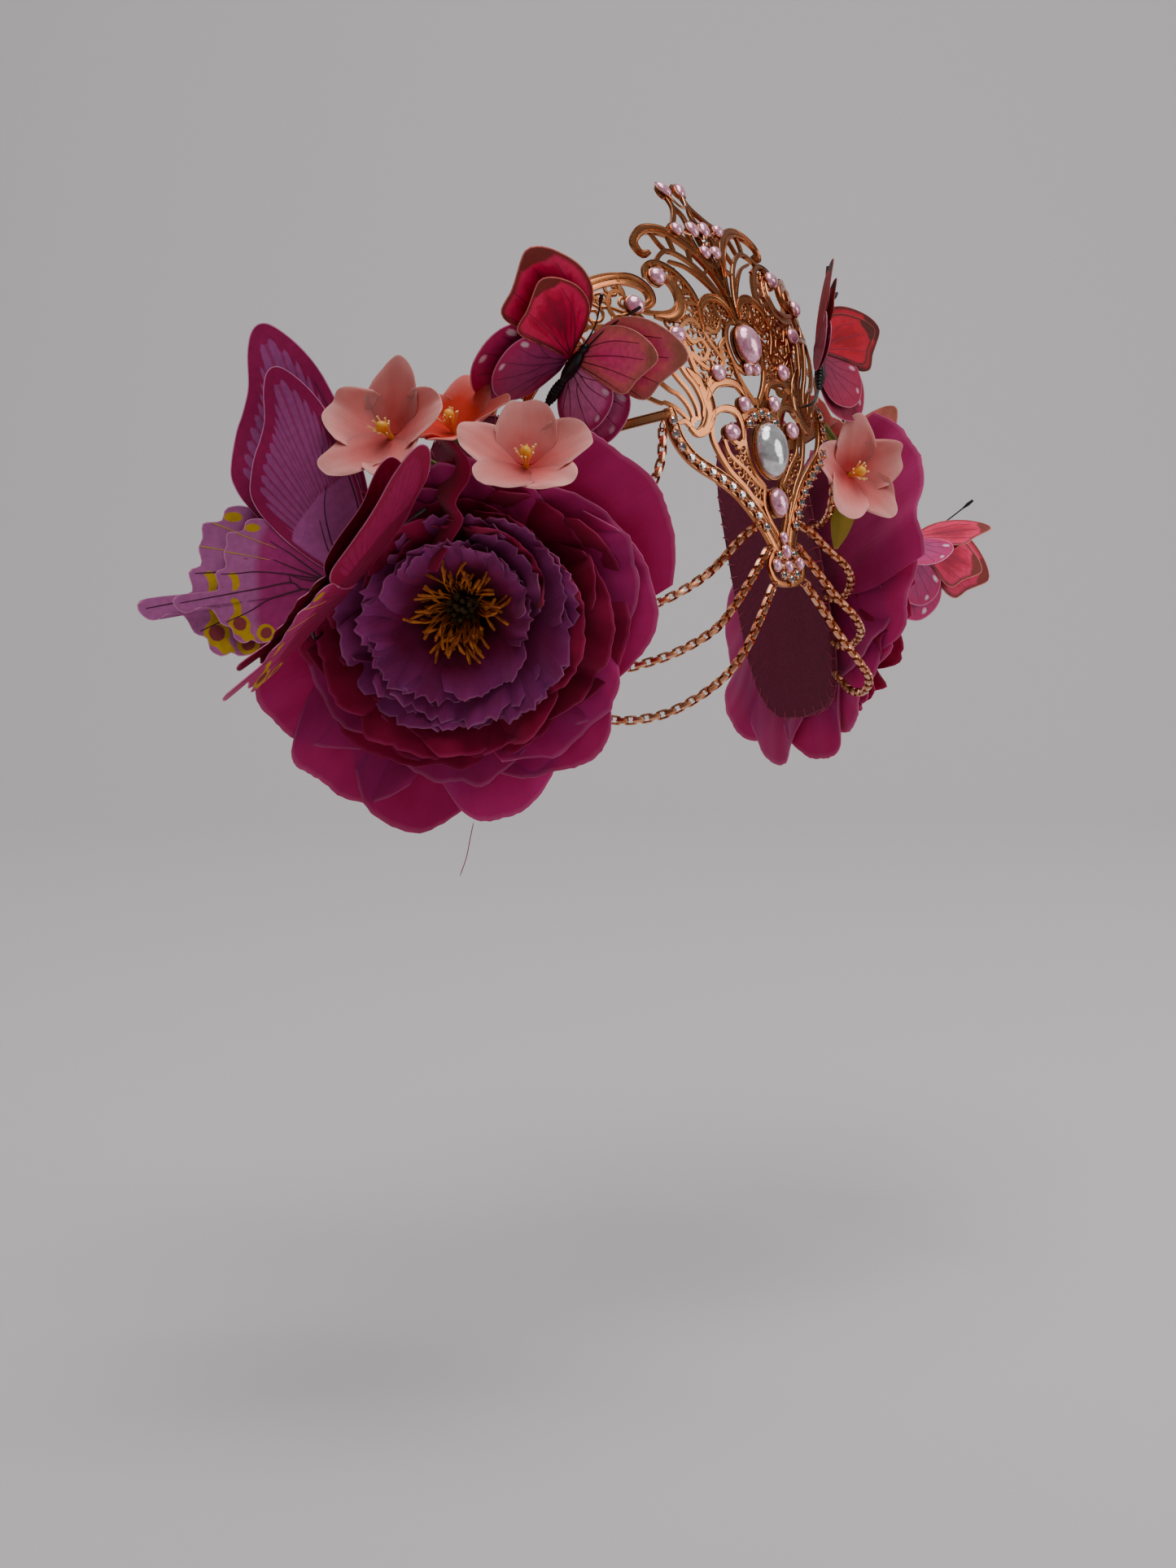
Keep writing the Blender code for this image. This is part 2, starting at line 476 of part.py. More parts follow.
def plain_back(flat):
    """The drawing's triangles without the stones' outlines, as numbers of its points."""
    plain = flat.copy()
    place = plain.verts.layers.int.new("place")
    for vert in plain.verts:
        vert[place] = vert.index
    inner = [e for e in plain.edges if len(e.link_faces) == 2]
    middles = [v for v in plain.verts if not v.is_boundary]
    bmesh.ops.dissolve_limit(plain, angle_limit=0.02, verts=middles, edges=inner,
                             use_dissolve_boundaries=False)
    bmesh.ops.triangulate(plain, faces=[f for f in plain.faces if len(f.verts) > 3])
    triangles = [[v[place] for v in face.verts] for face in plain.faces]
    plain.free()
    return triangles


def bent_plate(name, flat, layer, back_off, front_off, look, gems=()):
    """Wrap a flat drawing round the head as a plate with faces and edges; gems rise from their outlines."""
    plate = bmesh.new()
    backs, fronts = {}, {}
    flat.verts.index_update()
    for vert in flat.verts:
        backs[vert] = plate.verts.new(on_crown(vert.co.x, vert.co.y, back_off))
        fronts[vert] = plate.verts.new(on_crown(vert.co.x, vert.co.y, front_off))
    flat.verts.ensure_lookup_table()
    back_faces = [[v.index for v in face.verts] for face in flat.faces]
    if gems:
        back_faces = plain_back(flat)
    for places in back_faces:
        plate.faces.new([backs[flat.verts[i]] for i in reversed(places)])
    for face in flat.faces:
        if face[layer] == 0 or not gems:
            plate.faces.new([fronts[v] for v in face.verts])
    for edge in flat.edges:
        if len(edge.link_faces) == 1:
            face = edge.link_faces[0]
            a, b = edge.verts
            loop = next(k for k in face.loops if k.edge is edge)
            if loop.vert is not a:
                a, b = b, a
            plate.faces.new([backs[a], backs[b], fronts[b], fronts[a]])
    for number, (s, t, size) in enumerate(gems):
        edges = {}
        for face in flat.faces:
            if face[layer] == number + 1:
                for loop in face.loops:
                    other = [f for f in loop.edge.link_faces if f is not face]
                    if not other or other[0][layer] != number + 1:
                        edges[loop.vert] = loop.link_loop_next.vert
        start = next(iter(edges))
        ring = [start]
        while edges[ring[-1]] is not start:
            ring.append(edges[ring[-1]])
        top = []
        for vert in ring:
            x = s + (vert.co.x - s) * TABLE_SHARE
            y = t + (vert.co.y - t) * TABLE_SHARE
            top.append(plate.verts.new(on_crown(x, y, front_off + size * SMALL_RISE)))
        for i, vert in enumerate(ring):
            j = (i + 1) % len(ring)
            plate.faces.new([fronts[vert], fronts[ring[j]], top[j], top[i]])
        plate.faces.new(top)
    bmesh.ops.delete(plate, geom=[v for v in plate.verts if not v.link_faces], context="VERTS")
    bmesh.ops.triangulate(plate, faces=plate.faces[:])
    mesh = bpy.data.meshes.new(name)
    plate.to_mesh(mesh)
    plate.free()
    flat.free()
    return add_object(name, mesh, look)


def stack(name, rings, look, smooth=40):
    """One closed body from rings of points, each of the same count, closed at both ends."""
    body = bmesh.new()
    rows = [[body.verts.new(p) for p in ring] for ring in rings]
    for low, high in zip(rows, rows[1:]):
        for i in range(len(low)):
            j = (i + 1) % len(low)
            body.faces.new([low[i], low[j], high[j], high[i]])
    for row, turned in ((rows[0], True), (rows[-1], False)):
        centre = body.verts.new(sum((v.co for v in row), Vector()) / len(row))
        for i in range(len(row)):
            j = (i + 1) % len(row)
            body.faces.new([row[j], row[i], centre] if turned else [row[i], row[j], centre])
    bmesh.ops.recalc_face_normals(body, faces=body.faces)
    bmesh.ops.triangulate(body, faces=body.faces[:])
    mesh = bpy.data.meshes.new(name)
    body.to_mesh(mesh)
    body.free()
    return add_object(name, mesh, look, smooth)


def swept(name, path, radii, sides, look):
    """A closed tube along a path, with a radius at each point."""
    rings = []
    side = None
    for i, point in enumerate(path):
        ahead = (path[min(i + 1, len(path) - 1)] - path[max(i - 1, 0)]).normalized()
        side = (side or ahead.orthogonal())
        side = (side - ahead * side.dot(ahead)).normalized()
        other = ahead.cross(side)
        rings.append([point + (side * math.cos(a) + other * math.sin(a)) * radii[i]
                      for a in (math.tau * k / sides for k in range(sides))])
    return stack(name, rings, look, 60)


def build_crown():
    """The pierced plate: every stroke and every disc under a stone, joined into one sheet."""
    outlines = []
    for _, width, points in CROWN_STROKES:
        outlines.extend(ribbon(points, width))
    for s, t, half_s, half_t, turn in CROWN_PADS:
        outlines.append(oval(s, t, half_s, half_t, turn, 8))
    flat, layer = flat_union(mirrored(outlines))
    simplify(flat, layer)
    bent_plate("crown_plate", flat, layer, -PLATE_WALL / 2, PLATE_WALL / 2, "rose_gold")


def build_stone(name, s, t, half_s, half_t, turn, look):
    """A cut stone in its collet: straight collet, narrow ledge, sloping crown facets and a flat table."""
    point, along, up, out = crown_frame(s, t)
    small = min(half_s, half_t)
    sides = LARGE_SIDES if half_t > LARGE_STONE else STONE_SIDES
    levels = ((0.0, 1.0), (small * COLLET, 1.0), (small * COLLET, LEDGE_SHARE),
              (small * (COLLET + STONE_HEIGHT), TABLE_SHARE))
    rings = []
    for height, share in levels:
        ring = []
        for p in oval(0, 0, half_s * share, half_t * share, turn, sides):
            ring.append(point + along * p.x + up * p.y + out * (ON_PLATE + height))
        rings.append(ring)
    stack(name, rings, look, 20)


def build_row(name, gems, outlines, look):
    """Small stones on one piece of thin sheet: its outlines, a disc under each stone, and the stones."""
    stones = [oval(s, t, size, size, 0, SMALL_SIDES) for s, t, size in gems]
    flat, layer = flat_union(outlines, stones)
    simplify(flat, layer)
    bent_plate(name, flat, layer, ON_PLATE, ON_PLATE + SMALL_WALL, look, gems)


def build_stones():
    """Main stones one by one, then the rows of small ones."""
    for name, s, t, half_s, half_t, turn, both, look in STONES:
        if both:
            build_stone(name + "_left", s, t, half_s, half_t, -turn, look)
            build_stone(name + "_right", -s, t, half_s, half_t, turn, look)
        else:
            build_stone(name, s, t, half_s, half_t, turn, look)
    for side, word in ((1, "left"), (-1, "right")):
        places = [(side * s, t) for s, t in RIM_STONES]
        band = ribbon([(side * s, t) for s, t in RIM_BAND], ROW_BAND, ROW_STEP)
        build_row("rim_stones_" + word, [(s, t, RHINESTONE) for s, t in places], band, "crystal")
    arc = ribbon(ARC_BAND, ROW_BAND, ROW_STEP)
    build_row("arc_stones", [(s, t, RHINESTONE) for s, t in ARC_STONES], arc, "crystal")
    build_row("tail_stones", TAIL_STONES, [oval(*TAIL_PLATE)], "pink_stone")
    plume = [piece for link in PLUME_LINKS for piece in ribbon(link, LINK_BAND)]
    build_row("plume_stones", PLUME_STONES, plume, "pink_stone")
    build_row("tip_stones", TIP_STONES, ribbon(TIP_LINK, LINK_BAND), "pink_stone")
    build_row("under_stones", UNDER_STONES, ribbon(UNDER_LINK, LINK_BAND), "pink_stone")


def pad_outline():
    """Outline of the left pad: an oval with squared corners."""
    outline = []
    for i in range(PAD_SIDES):
        a = math.tau * i / PAD_SIDES
        x = math.copysign(abs(math.cos(a)) ** PAD_CORNER, math.cos(a)) * PAD_HALF[0]
        y = math.copysign(abs(math.sin(a)) ** PAD_CORNER, math.sin(a)) * PAD_HALF[1]
        outline.append(Vector((PAD_CENTRE[0] + x, PAD_CENTRE[1] + y)))
    return outline


def pad_edge(t):
    """Where the pad's front edge is, at height t."""
    outline = pad_outline()
    places = []
    for a, b in zip(outline, outline[1:] + outline[:1]):
        if min(a.y, b.y) <= t < max(a.y, b.y):
            places.append(a.x + (b.x - a.x) * (t - a.y) / (b.y - a.y))
    return min(places)


def build_chains():
    """Eight box chains, as tubes of the chain's width from the plate's lower edge to the pads."""
    for name, route, pad_t in CHAINS:
        for side, word in ((1, "left"), (-1, "right")):
            places = [on_crown(side * s, t, off) for s, t, off in route]
            edge = min(pad_edge(pad_t + CHAIN_WIDTH / 2), pad_edge(pad_t - CHAIN_WIDTH / 2))
            places.append(on_crown(side * (edge - 2 * GAP), pad_t, ON_PLATE + PAD_WALL / 2))
            curve = bpy.data.curves.new(f"{name}_{word}", "CURVE")
            curve.dimensions = "3D"
            curve.bevel_depth = CHAIN_WIDTH / 2 * MM
            curve.bevel_resolution = 2
            curve.use_fill_caps = True
            line = curve.splines.new("POLY")
            points = spline(places, CHAIN_POINTS)
            line.points.add(len(points) - 1)
            for knot, point in zip(line.points, points):
                knot.co = (*(point * MM), 1)
            curve.materials.append(material("rose_gold"))
            made = bpy.data.objects.new(f"{name}_{word}", curve)
            bpy.context.scene.collection.objects.link(made)


def build_pads():
    """A stiffened felt pad on each side, with rounded corners, outside the plate's arm."""
    for side, word in ((1, "left"), (-1, "right")):
        outline = [Vector((side * p.x, p.y)) for p in pad_outline()]
        flat, layer = flat_union([outline])
        simplify(flat, layer, [side * s for s in PAD_BENDS_S], PAD_BENDS_T)
        bent_plate(f"flower_pad_{word}", flat, layer, ON_PLATE, ON_PLATE + PAD_WALL, "felt")


def flower_axes(axis):
    """Right, up and forward directions of a flower that faces along axis."""
    forward = Vector(axis).normalized()
    right = forward.cross(Vector((0, 0, 1))).normalized() * -1
    return right, forward.cross(right).normalized(), forward


def petal_reach(angle, petals):
    """Reach of a whorl at an angle: full at the middle of each petal, less between two."""
    reach = 0.0
    for centre, length, width in petals:
        away = abs((angle - centre + 180) % 360 - 180)
        if away < width:
            reach = max(reach, length * (1 - NOTCH * (away / width) ** 2))
    return reach


def whorl(name, foot, axis, reach_at, wide, floor, rise, curve, ruffle, look, root=None, sides=PEONY_SIDES,
          shares=(0.5, 1.0), hub=HUB, waves=11, knob=()):
    """One whorl of petals as a closed shell: the underside out to the rim, then the upper side back."""
    right, up, forward = flower_axes(axis)
    foot = Vector(foot)
    angles = [360.0 * i / sides for i in range(sides)]

    def place(angle, radius, height):
        a = math.radians(angle)
        return foot + (right * math.cos(a) + up * math.sin(a)) * radius + forward * height

    def height_at(radius):
        return floor + rise * (radius / wide) ** curve

    under, upper = [], []
    if root:
        point, _, _, out = crown_frame(root[0], root[1])
        ring = []
        for angle in angles:
            spoke = place(angle, hub * 0.5, 0) - foot
            ring.append(point + out * root[2] + spoke - out * spoke.dot(out))
        under.append(ring)
    under.append([place(a, hub * 0.6, floor) for a in angles])
    for part in shares:
        low, high = [], []
        for angle in angles:
            radius = hub + (reach_at(angle) - hub) * part
            wave = ruffle * part * part * math.sin(math.radians(angle) * waves + floor)
            height = height_at(radius) + wave
            slope = math.atan2(height_at(radius + 1) - height_at(radius - 1), 2)
            low.append(place(angle, radius, height))
            inward, rise_by = PETAL_WALL * math.sin(slope), PETAL_WALL * math.cos(slope)
            high.append(place(angle, radius - inward, height + rise_by))
        under.append(low)
        upper.append(high)
    upper.reverse()
    upper.append([place(a, hub * 0.6, floor + PETAL_WALL) for a in angles])
    for radius, height in knob:
        upper.append([place(a, radius, floor + PETAL_WALL + height) for a in angles])
    return stack(name, under + upper, look, 60)


def build_peonies():
    """Two large peonies of silk: three whorls and a tuft of stamens each."""
    for word, foot, axis, pad_place in PEONIES:
        petals = []
        for angle, reach, half in OUTER_PETALS:
            petals.append((angle if word == "right" else 180 - angle, reach, half))
        whorl(f"peony_{word}_outer", foot, axis, lambda a: petal_reach(a, petals), 78, 0, OUTER_RISE,
              OUTER_CURVE, OUTER_RUFFLE, "magenta_silk", (*pad_place, ON_PAD), PEONY_SIDES,
              OUTER_SHARES)
        floor = PETAL_WALL + GAP
        for layer, look, count, reach, top, rise, curve, ruffle in PEONY_LAYERS:
            ring = []
            for i in range(count):
                less = (reach - top) * max(0, math.sin(math.tau * i / count))
                ring.append((360 * i / count, reach - less, INNER_HALF))
            whorl(f"peony_{word}_{layer}", foot, axis, lambda a: petal_reach(a, ring), reach, floor, rise,
                  curve, ruffle, look)
            floor += PETAL_WALL + GAP
        right, up, forward = flower_axes(axis)
        rings = []
        for radius, height in STAMEN_RINGS:
            centre = Vector(foot) + forward * (floor + height)
            rings.append([centre + (right * math.cos(a) + up * math.sin(a)) * radius
                          for a in (math.tau * i / STAMEN_SIDES for i in range(STAMEN_SIDES))])
        stack(f"peony_{word}_stamens", rings, "stamens")


def build_blossoms():
    """Small five-petalled silk flowers, each with its stem and a tuft in the middle."""
    for name, centre, axis, reach, root in BLOSSOMS:
        petals = [(18 + 72 * i, reach, BLOSSOM_HALF) for i in range(5)]
        whorl(name, centre, axis, lambda a: petal_reach(a, petals), reach, 0.0, BLOSSOM_RISE, 1.1, 0.5,
              "peach_silk", root, 15, (0.5, 1.0), 3.0, 5, ((1.2, 9.0),))


def build_leaf():
    """A narrow green leaf, creased along its rib and stitched under the band."""
    side = Vector(LEAF_SIDE).normalized()
    rings = []
    for x, y, z, half in LEAF:
        rib = Vector((x, y, z))
        out = side.cross(Vector((0, 0, 1))) * -1
        tips = [rib + side * half + out * half * LEAF_FOLD, rib - side * half + out * half * LEAF_FOLD]
        rings.append([tips[0], rib, tips[1], tips[1] - out * LEAF_WALL, rib - out * LEAF_WALL,
                      tips[0] - out * LEAF_WALL])
    stack("leaf", rings, "green_silk", 40)


def wing_point(x, y, lift, left_raise, right_raise, scale):
    """A point of the folded wings: each wing turned up about the body."""
    raise_angle = math.radians(right_raise if x > 0 else left_raise)
    out = Vector((math.cos(raise_angle) * (1 if x > 0 else -1), 0, math.sin(raise_angle)))
    normal = Vector((-out.z, 0, out.x)) if x > 0 else Vector((out.z, 0, -out.x))
    if x == 0:
        bend = math.radians((left_raise + right_raise) / 2)
        return Vector((0, y * scale, lift / math.cos(bend)))
    return out * abs(x) * scale + normal * lift + Vector((0, y * scale, 0))


def build_butterfly(name, outline, scale, centre, head, back, left_raise, right_raise, wire):
    """Wings as one folded film, and the body that runs on into the wire that carries it."""
    forward = Vector(head).normalized()
    dorsal = (Vector(back) - forward * forward.dot(Vector(back))).normalized()
    right = forward.cross(dorsal)
    frame = Matrix((right, forward, dorsal)).transposed()
    centre = Vector(centre)
    steep = math.cos(math.radians(max(left_raise, right_raise)))
    hinge = centre - dorsal * (BODY_RADIUS + GAP) / steep
    half = [Vector(p) for p in outline]
    flat, layer = flat_union([half])
    simplify(flat, layer)
    film = bmesh.new()
    for sign in (1, -1):
        rows = {}
        for lift in (0.0, -WING_FILM):
            rows[lift] = {}
            for v in flat.verts:
                local = wing_point(sign * v.co.x, v.co.y, lift, left_raise, right_raise, scale)
                rows[lift][v] = film.verts.new(hinge + frame @ local)
        for face in flat.faces:
            film.faces.new([rows[0.0][v] for v in face.verts])
            film.faces.new([rows[-WING_FILM][v] for v in reversed(face.verts)])
        for edge in flat.edges:
            a, b = edge.verts
            if len(edge.link_faces) == 1 and not (abs(a.co.x) < 1e-4 and abs(b.co.x) < 1e-4):
                film.faces.new([rows[0.0][a], rows[0.0][b], rows[-WING_FILM][b], rows[-WING_FILM][a]])
    bmesh.ops.remove_doubles(film, verts=film.verts, dist=0.001)
    bmesh.ops.recalc_face_normals(film, faces=film.faces)
    bmesh.ops.triangulate(film, faces=film.faces[:])
    flat.free()
    mesh = bpy.data.meshes.new(name)
    film.to_mesh(mesh)
    film.free()
    add_object(f"{name}_wings", mesh, "purple_film" if outline is SWALLOWTAIL else "film")
    spine = [centre + forward * along for along, _ in BODY_PROFILE]
    radii = [radius for _, radius in BODY_PROFILE]
    neck = centre + forward * NECK[0] + dorsal * NECK[1]
    path = spline([spine[-1], neck, *wire], WIRE_POINTS)[1:]
    swept(f"{name}_body", spine + path, radii + [WIRE] * len(path), BODY_SIDES, "black_body")


def remove_all():
    """Start from an empty scene."""
    for old in list(bpy.data.objects):
        bpy.data.objects.remove(old, do_unlink=True)


remove_all()
build_crown()
build_stones()
build_chains()
build_pads()
build_peonies()
build_blossoms()
build_leaf()
for row in BUTTERFLIES:
    build_butterfly(*row)
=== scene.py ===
"""Looks of the flower diadem: rose-gold crown, stones, box chains, silk flowers and film butterflies.

Sizes in the tables are millimetres. The sections follow the order in which the piece is put together.
"""

import math
import random

import bpy
import numpy as np
from mathutils import Matrix, Vector


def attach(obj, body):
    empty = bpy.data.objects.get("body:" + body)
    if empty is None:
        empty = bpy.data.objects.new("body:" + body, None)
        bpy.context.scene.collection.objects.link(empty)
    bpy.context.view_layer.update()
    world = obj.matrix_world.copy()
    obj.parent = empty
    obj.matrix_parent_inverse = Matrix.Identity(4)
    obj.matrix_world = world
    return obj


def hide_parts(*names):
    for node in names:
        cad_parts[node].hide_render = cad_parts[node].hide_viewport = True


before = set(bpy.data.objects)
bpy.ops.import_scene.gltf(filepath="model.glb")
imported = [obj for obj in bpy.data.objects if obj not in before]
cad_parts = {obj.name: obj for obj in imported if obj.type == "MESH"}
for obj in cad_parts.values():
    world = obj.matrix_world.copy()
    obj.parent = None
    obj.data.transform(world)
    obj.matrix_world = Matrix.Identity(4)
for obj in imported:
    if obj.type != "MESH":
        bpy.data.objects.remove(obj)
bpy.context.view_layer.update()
bpy.ops.object.select_all(action="DESELECT")


# Crown plate. Brass sheet about 1.2 mm thick, pierced, bent round the brow and plated with rose gold.
# The plating is satin: broad soft reflections, a little warmer where it is thick, with hairline rubs.
def linear(code):
    """A colour given as sRGB hex, as the linear colour that a shader takes."""
    parts = [int(code[i:i + 2], 16) / 255 for i in (1, 3, 5)]
    return (*[p / 12.92 if p <= 0.04045 else ((p + 0.055) / 1.055) ** 2.4 for p in parts], 1)


def add_node(look, kind, settings=None, links=None):
    """Add a node to a material, with settings of its properties or sockets, and links into its sockets."""
    node = look.node_tree.nodes.new(kind)
    for key, value in (settings or {}).items():
        if key == "stops":
            ramp = node.color_ramp.elements
            ramp.remove(ramp[1])
            ramp[0].position, ramp[0].color = value[0][0], linear(value[0][1])
            for place, code in value[1:]:
                ramp.new(place).color = linear(code)
        elif isinstance(key, str) and hasattr(node, key):
            setattr(node, key, value)
        else:
            node.inputs[key].default_value = value
    for key, source in (links or {}).items():
        look.node_tree.links.new(source, node.inputs[key])
    return node


def new_look(name, **sockets):
    """A material with these sockets set, and its shader's node. Spaces in a socket's name are written _."""
    look = bpy.data.materials.new(name)
    look.use_nodes = True
    shader = look.node_tree.nodes["Principled BSDF"]
    for socket, value in sockets.items():
        shader.inputs[socket.replace("_", " ")].default_value = value
    return look, shader


def feed(look, shader, socket, source):
    """Link a node's output to one of the shader's sockets."""
    look.node_tree.links.new(source, shader.inputs[socket])


def cloudy(look, shader, scale, stops, **settings):
    """Colour a material by noise between stops of colour. Gives the place and the noise, for further use."""
    place = add_node(look, "ShaderNodeTexCoord").outputs["Object"]
    noise = add_node(look, "ShaderNodeTexNoise", {"Scale": scale, **settings},
                     {"Vector": place}).outputs["Fac"]
    tint = add_node(look, "ShaderNodeValToRGB", {"stops": stops}, {"Fac": noise})
    feed(look, shader, "Base Color", tint.outputs["Color"])
    return place, noise


satin_rose_gold, shader = new_look("satin_rose_gold_plate", Metallic=1.0, Roughness=0.27)
# Plating thickness drifts over about 15 mm.
place, _ = cloudy(satin_rose_gold, shader, 65, ((0.3, "#a8663f"), (0.55, "#c37c50"), (0.75, "#d8966b")),
                  Detail=3)
# Hairline rubs, 0.3 mm apart.
rubs = add_node(satin_rose_gold, "ShaderNodeTexNoise", {"Scale": 3200, "Detail": 2}, {"Vector": place})
gloss = add_node(satin_rose_gold, "ShaderNodeMapRange", {"To Min": 0.16, "To Max": 0.36},
                 {"Value": rubs.outputs["Fac"]})
feed(satin_rose_gold, shader, "Roughness", gloss.outputs["Result"])
grain = add_node(satin_rose_gold, "ShaderNodeBump", {"Strength": 0.08, "Distance": 0.0001},
                 {"Height": rubs.outputs["Fac"]})
feed(satin_rose_gold, shader, "Normal", grain.outputs["Normal"])

# Chased strokes of the crown. They take the plain sheet's place: a raised lip along both edges and a sunk
# line beside it on the broad strokes, a plain back on the narrow ones, and a hollow on the curled crescents.
FRONT_RADIUS, FRONT_HALF = 180.0, 36.0
CORNER_RADIUS, CORNER_END = 54.0, 96.0
ARM_RADIUS = 180.0
FRONT_Y = -90.0
LEAN = math.radians(13.5)
LEAN_PER_MM = 0.006
LEAN_START = 20.0
MM = 0.001
STROKES = (
    # width, half of the plate: s round the head and t up the plate along the stroke
    (5.2, ((45, 17), (43.6, 6), (38, -2.6), (27, -9.8), (18.5, -16.4), (9, -28), (3.6, -38), (0, -44))),
    (1.9, ((32, 42.4), (29.6, 30), (26.4, 13), (27.2, 4), (22, -7), (14.5, -15), (7.5, -26), (2.5, -35))),
    (1.8, ((29, 24), (27, 13), (29.5, 7.6), (33.2, 6.2), (36.2, 8.6), (35.2, 12), (32.6, 12))),
    (1.8, ((36.4, 9), (39, 11.6), (42, 11))),
    (1.7, ((27.5, 11), (23.5, 14.6), (18, 15.6), (12.4, 14), (10.6, 9), (11.5, 3.6), (16, 0.5))),
    (1.6, ((22, 4), (20, -2), (14, -7), (8, -13), (3, -16))),
    (1.8, ((27, 18.5), (23, 23.4), (17, 24.9), (11, 24.6), (6.2, 20.6), (8.6, 14.4), (10.6, 10))),
    (1.8, ((9.5, 34), (8, 27.6), (4.6, 21.4), (0, 16))),
    (2.2, ((0, 19), (0, 12), (0, 8))),
    (1.7, ((0, 14.5), (6.4, 13.6), (10.6, 8.4), (11, 0), (8.6, -9), (4.2, -14.6))),
    (1.7, ((10.6, 2), (15, 2.2), (18, 4))),
    (2.0, ((4.6, -14), (6.4, -20.6), (5, -26), (1.6, -32), (0, -38))),
    (1.6, ((4, -20.4), (8, -20.4), (12.4, -17.6))),
    (2.0, ((0, 48.6), (6, 47), (9.4, 42), (9.6, 36), (7.6, 31), (2.4, 28.2))),
    (1.8, ((9.4, 42), (14, 38), (14.6, 32), (19.3, 28.5), (24.5, 24), (27.4, 16))),
    (2.0, ((20.6, 44), (19.6, 51), (16, 55.6), (11, 57.6), (5.4, 56), (2.8, 51), (1.6, 47))),
    (1.6, ((18.6, 46), (14, 44), (10, 48), (10.6, 53), (9.6, 57))),
    (1.6, ((29.6, 36.6), (24.6, 33.6), (21, 37), (23, 41.4), (27.6, 40.4), (31, 46))),
    (1.6, ((20.6, 45), (24.6, 49), (30, 47), (34, 43))),
    (1.5, ((14.4, 33), (17.4, 38), (19.6, 42), (20.4, 46))),
    (1.6, ((22, 29.6), (26, 32), (30.3, 36.6))),
    (2.1, ((19.6, 50), (18.6, 57), (20.8, 64), (25.4, 69.8), (31, 72.4), (36.4, 71), (38.6, 66.4))),
    (1.7, ((30.4, 66), (27.4, 61.6), (27.4, 57.4), (30.6, 53.6), (36, 52), (43, 52.6), (46.5, 54.5))),
    (1.4, ((19.4, 60), (23, 60), (27, 62))),
    (1.4, ((22.8, 66.6), (25.4, 64.4), (28.4, 64))),
    (1.4, ((18.6, 54.4), (22.6, 55.6), (27.8, 56.6))),
    (2.0, ((34, 66), (33.5, 72))),
    (2.4, ((0, 58), (2.6, 66), (6.4, 74), (12, 81.4), (18, 86.2), (25, 87.8), (32, 86), (36.6, 81),
           (35, 76.2), (31, 77))),
    (1.8, ((1.8, 50), (4.6, 59), (9.4, 68), (15.6, 74.4), (22, 77.4), (27, 75.6), (31, 72))),
    (1.3, ((5, 70), (8.6, 67))),
    (1.3, ((10.6, 79), (12.6, 72))),
    (1.3, ((18, 85.6), (18.6, 77))),
    (1.3, ((26, 87), (24.6, 81), (22.6, 77))),
    (1.3, ((1.6, 52), (8, 62), (16, 70), (24, 73))),
    (2.2, ((0, 46), (0, 58), (0, 70), (0, 79))),
    (2.2, ((0, 70), (4.4, 73.4), (6, 79), (5.4, 86), (0, 91))),
    (4.4, ((0, 75), (0, 86))),
    (1.9, ((4.6, 104), (5, 98), (9, 92), (13, 88.4), (17.4, 85))),
    (1.6, ((5, 99), (2.6, 94), (3.2, 88))),
    (1.6, ((12.5, 87), (9.6, 82.6), (5.6, 79))),
    (2.6, ((45.5, 54), (40, 56.4), (39.4, 61.6), (43.6, 66.4), (50, 67.8), (59, 67), (71, 63.4), (85, 55),
           (99, 42), (111, 27), (117, 15))),
    (2.4, ((33, 42), (45, 42.8), (58, 43.4), (71, 43), (84, 38), (96, 28), (108, 13))),
    (3.4, ((44, 15), (56, 13.6), (72, 12), (90, 10.6), (106, 10), (118, 12))),
    (1.5, ((47, 43), (50.6, 49), (48, 55), (51, 61), (50, 67))),
    (1.5, ((51, 49), (56.4, 52), (57.4, 58), (54, 62), (50.6, 61))),
    (1.5, ((57, 58), (62, 61), (66, 65))),
    (1.5, ((58, 43), (61, 49), (67, 50), (69.6, 55), (66, 60), (61.6, 59))),
    (1.5, ((69.6, 55), (75, 57), (77, 60))),
    (1.5, ((71, 43), (75, 49), (81, 49), (84, 55))),
    (1.5, ((84, 38), (86, 44), (92, 46), (92, 49))),
    (1.5, ((95, 29), (100, 34), (104, 36))),
    (1.5, ((96, 28), (92, 20), (84, 16), (80, 11.6))),
    (2.2, ((0, -34), (5, -37.6), (9.6, -42.6), (8, -48.6), (2, -50.6), (0, -50))),
    (6.0, ((0, -36), (0, -48))),
    (1.5, ((40, 42.4), (35.1, 29.9), (31.2, 24.0), (29.0, 17.3), (30.2, 12.6))),
    (1.5, ((48, 42.9), (39.2, 28.3), (34.8, 22.2), (32.4, 16.4), (32.3, 11.6))),
    (1.5, ((62, 43), (44.6, 24.8), (39.8, 21.5), (36.1, 16.6), (34.4, 10.8))),
    (1.5, ((80, 39.6), (50.8, 20.6), (45.9, 19.0), (41.0, 15.9), (37.2, 11.9))),
)


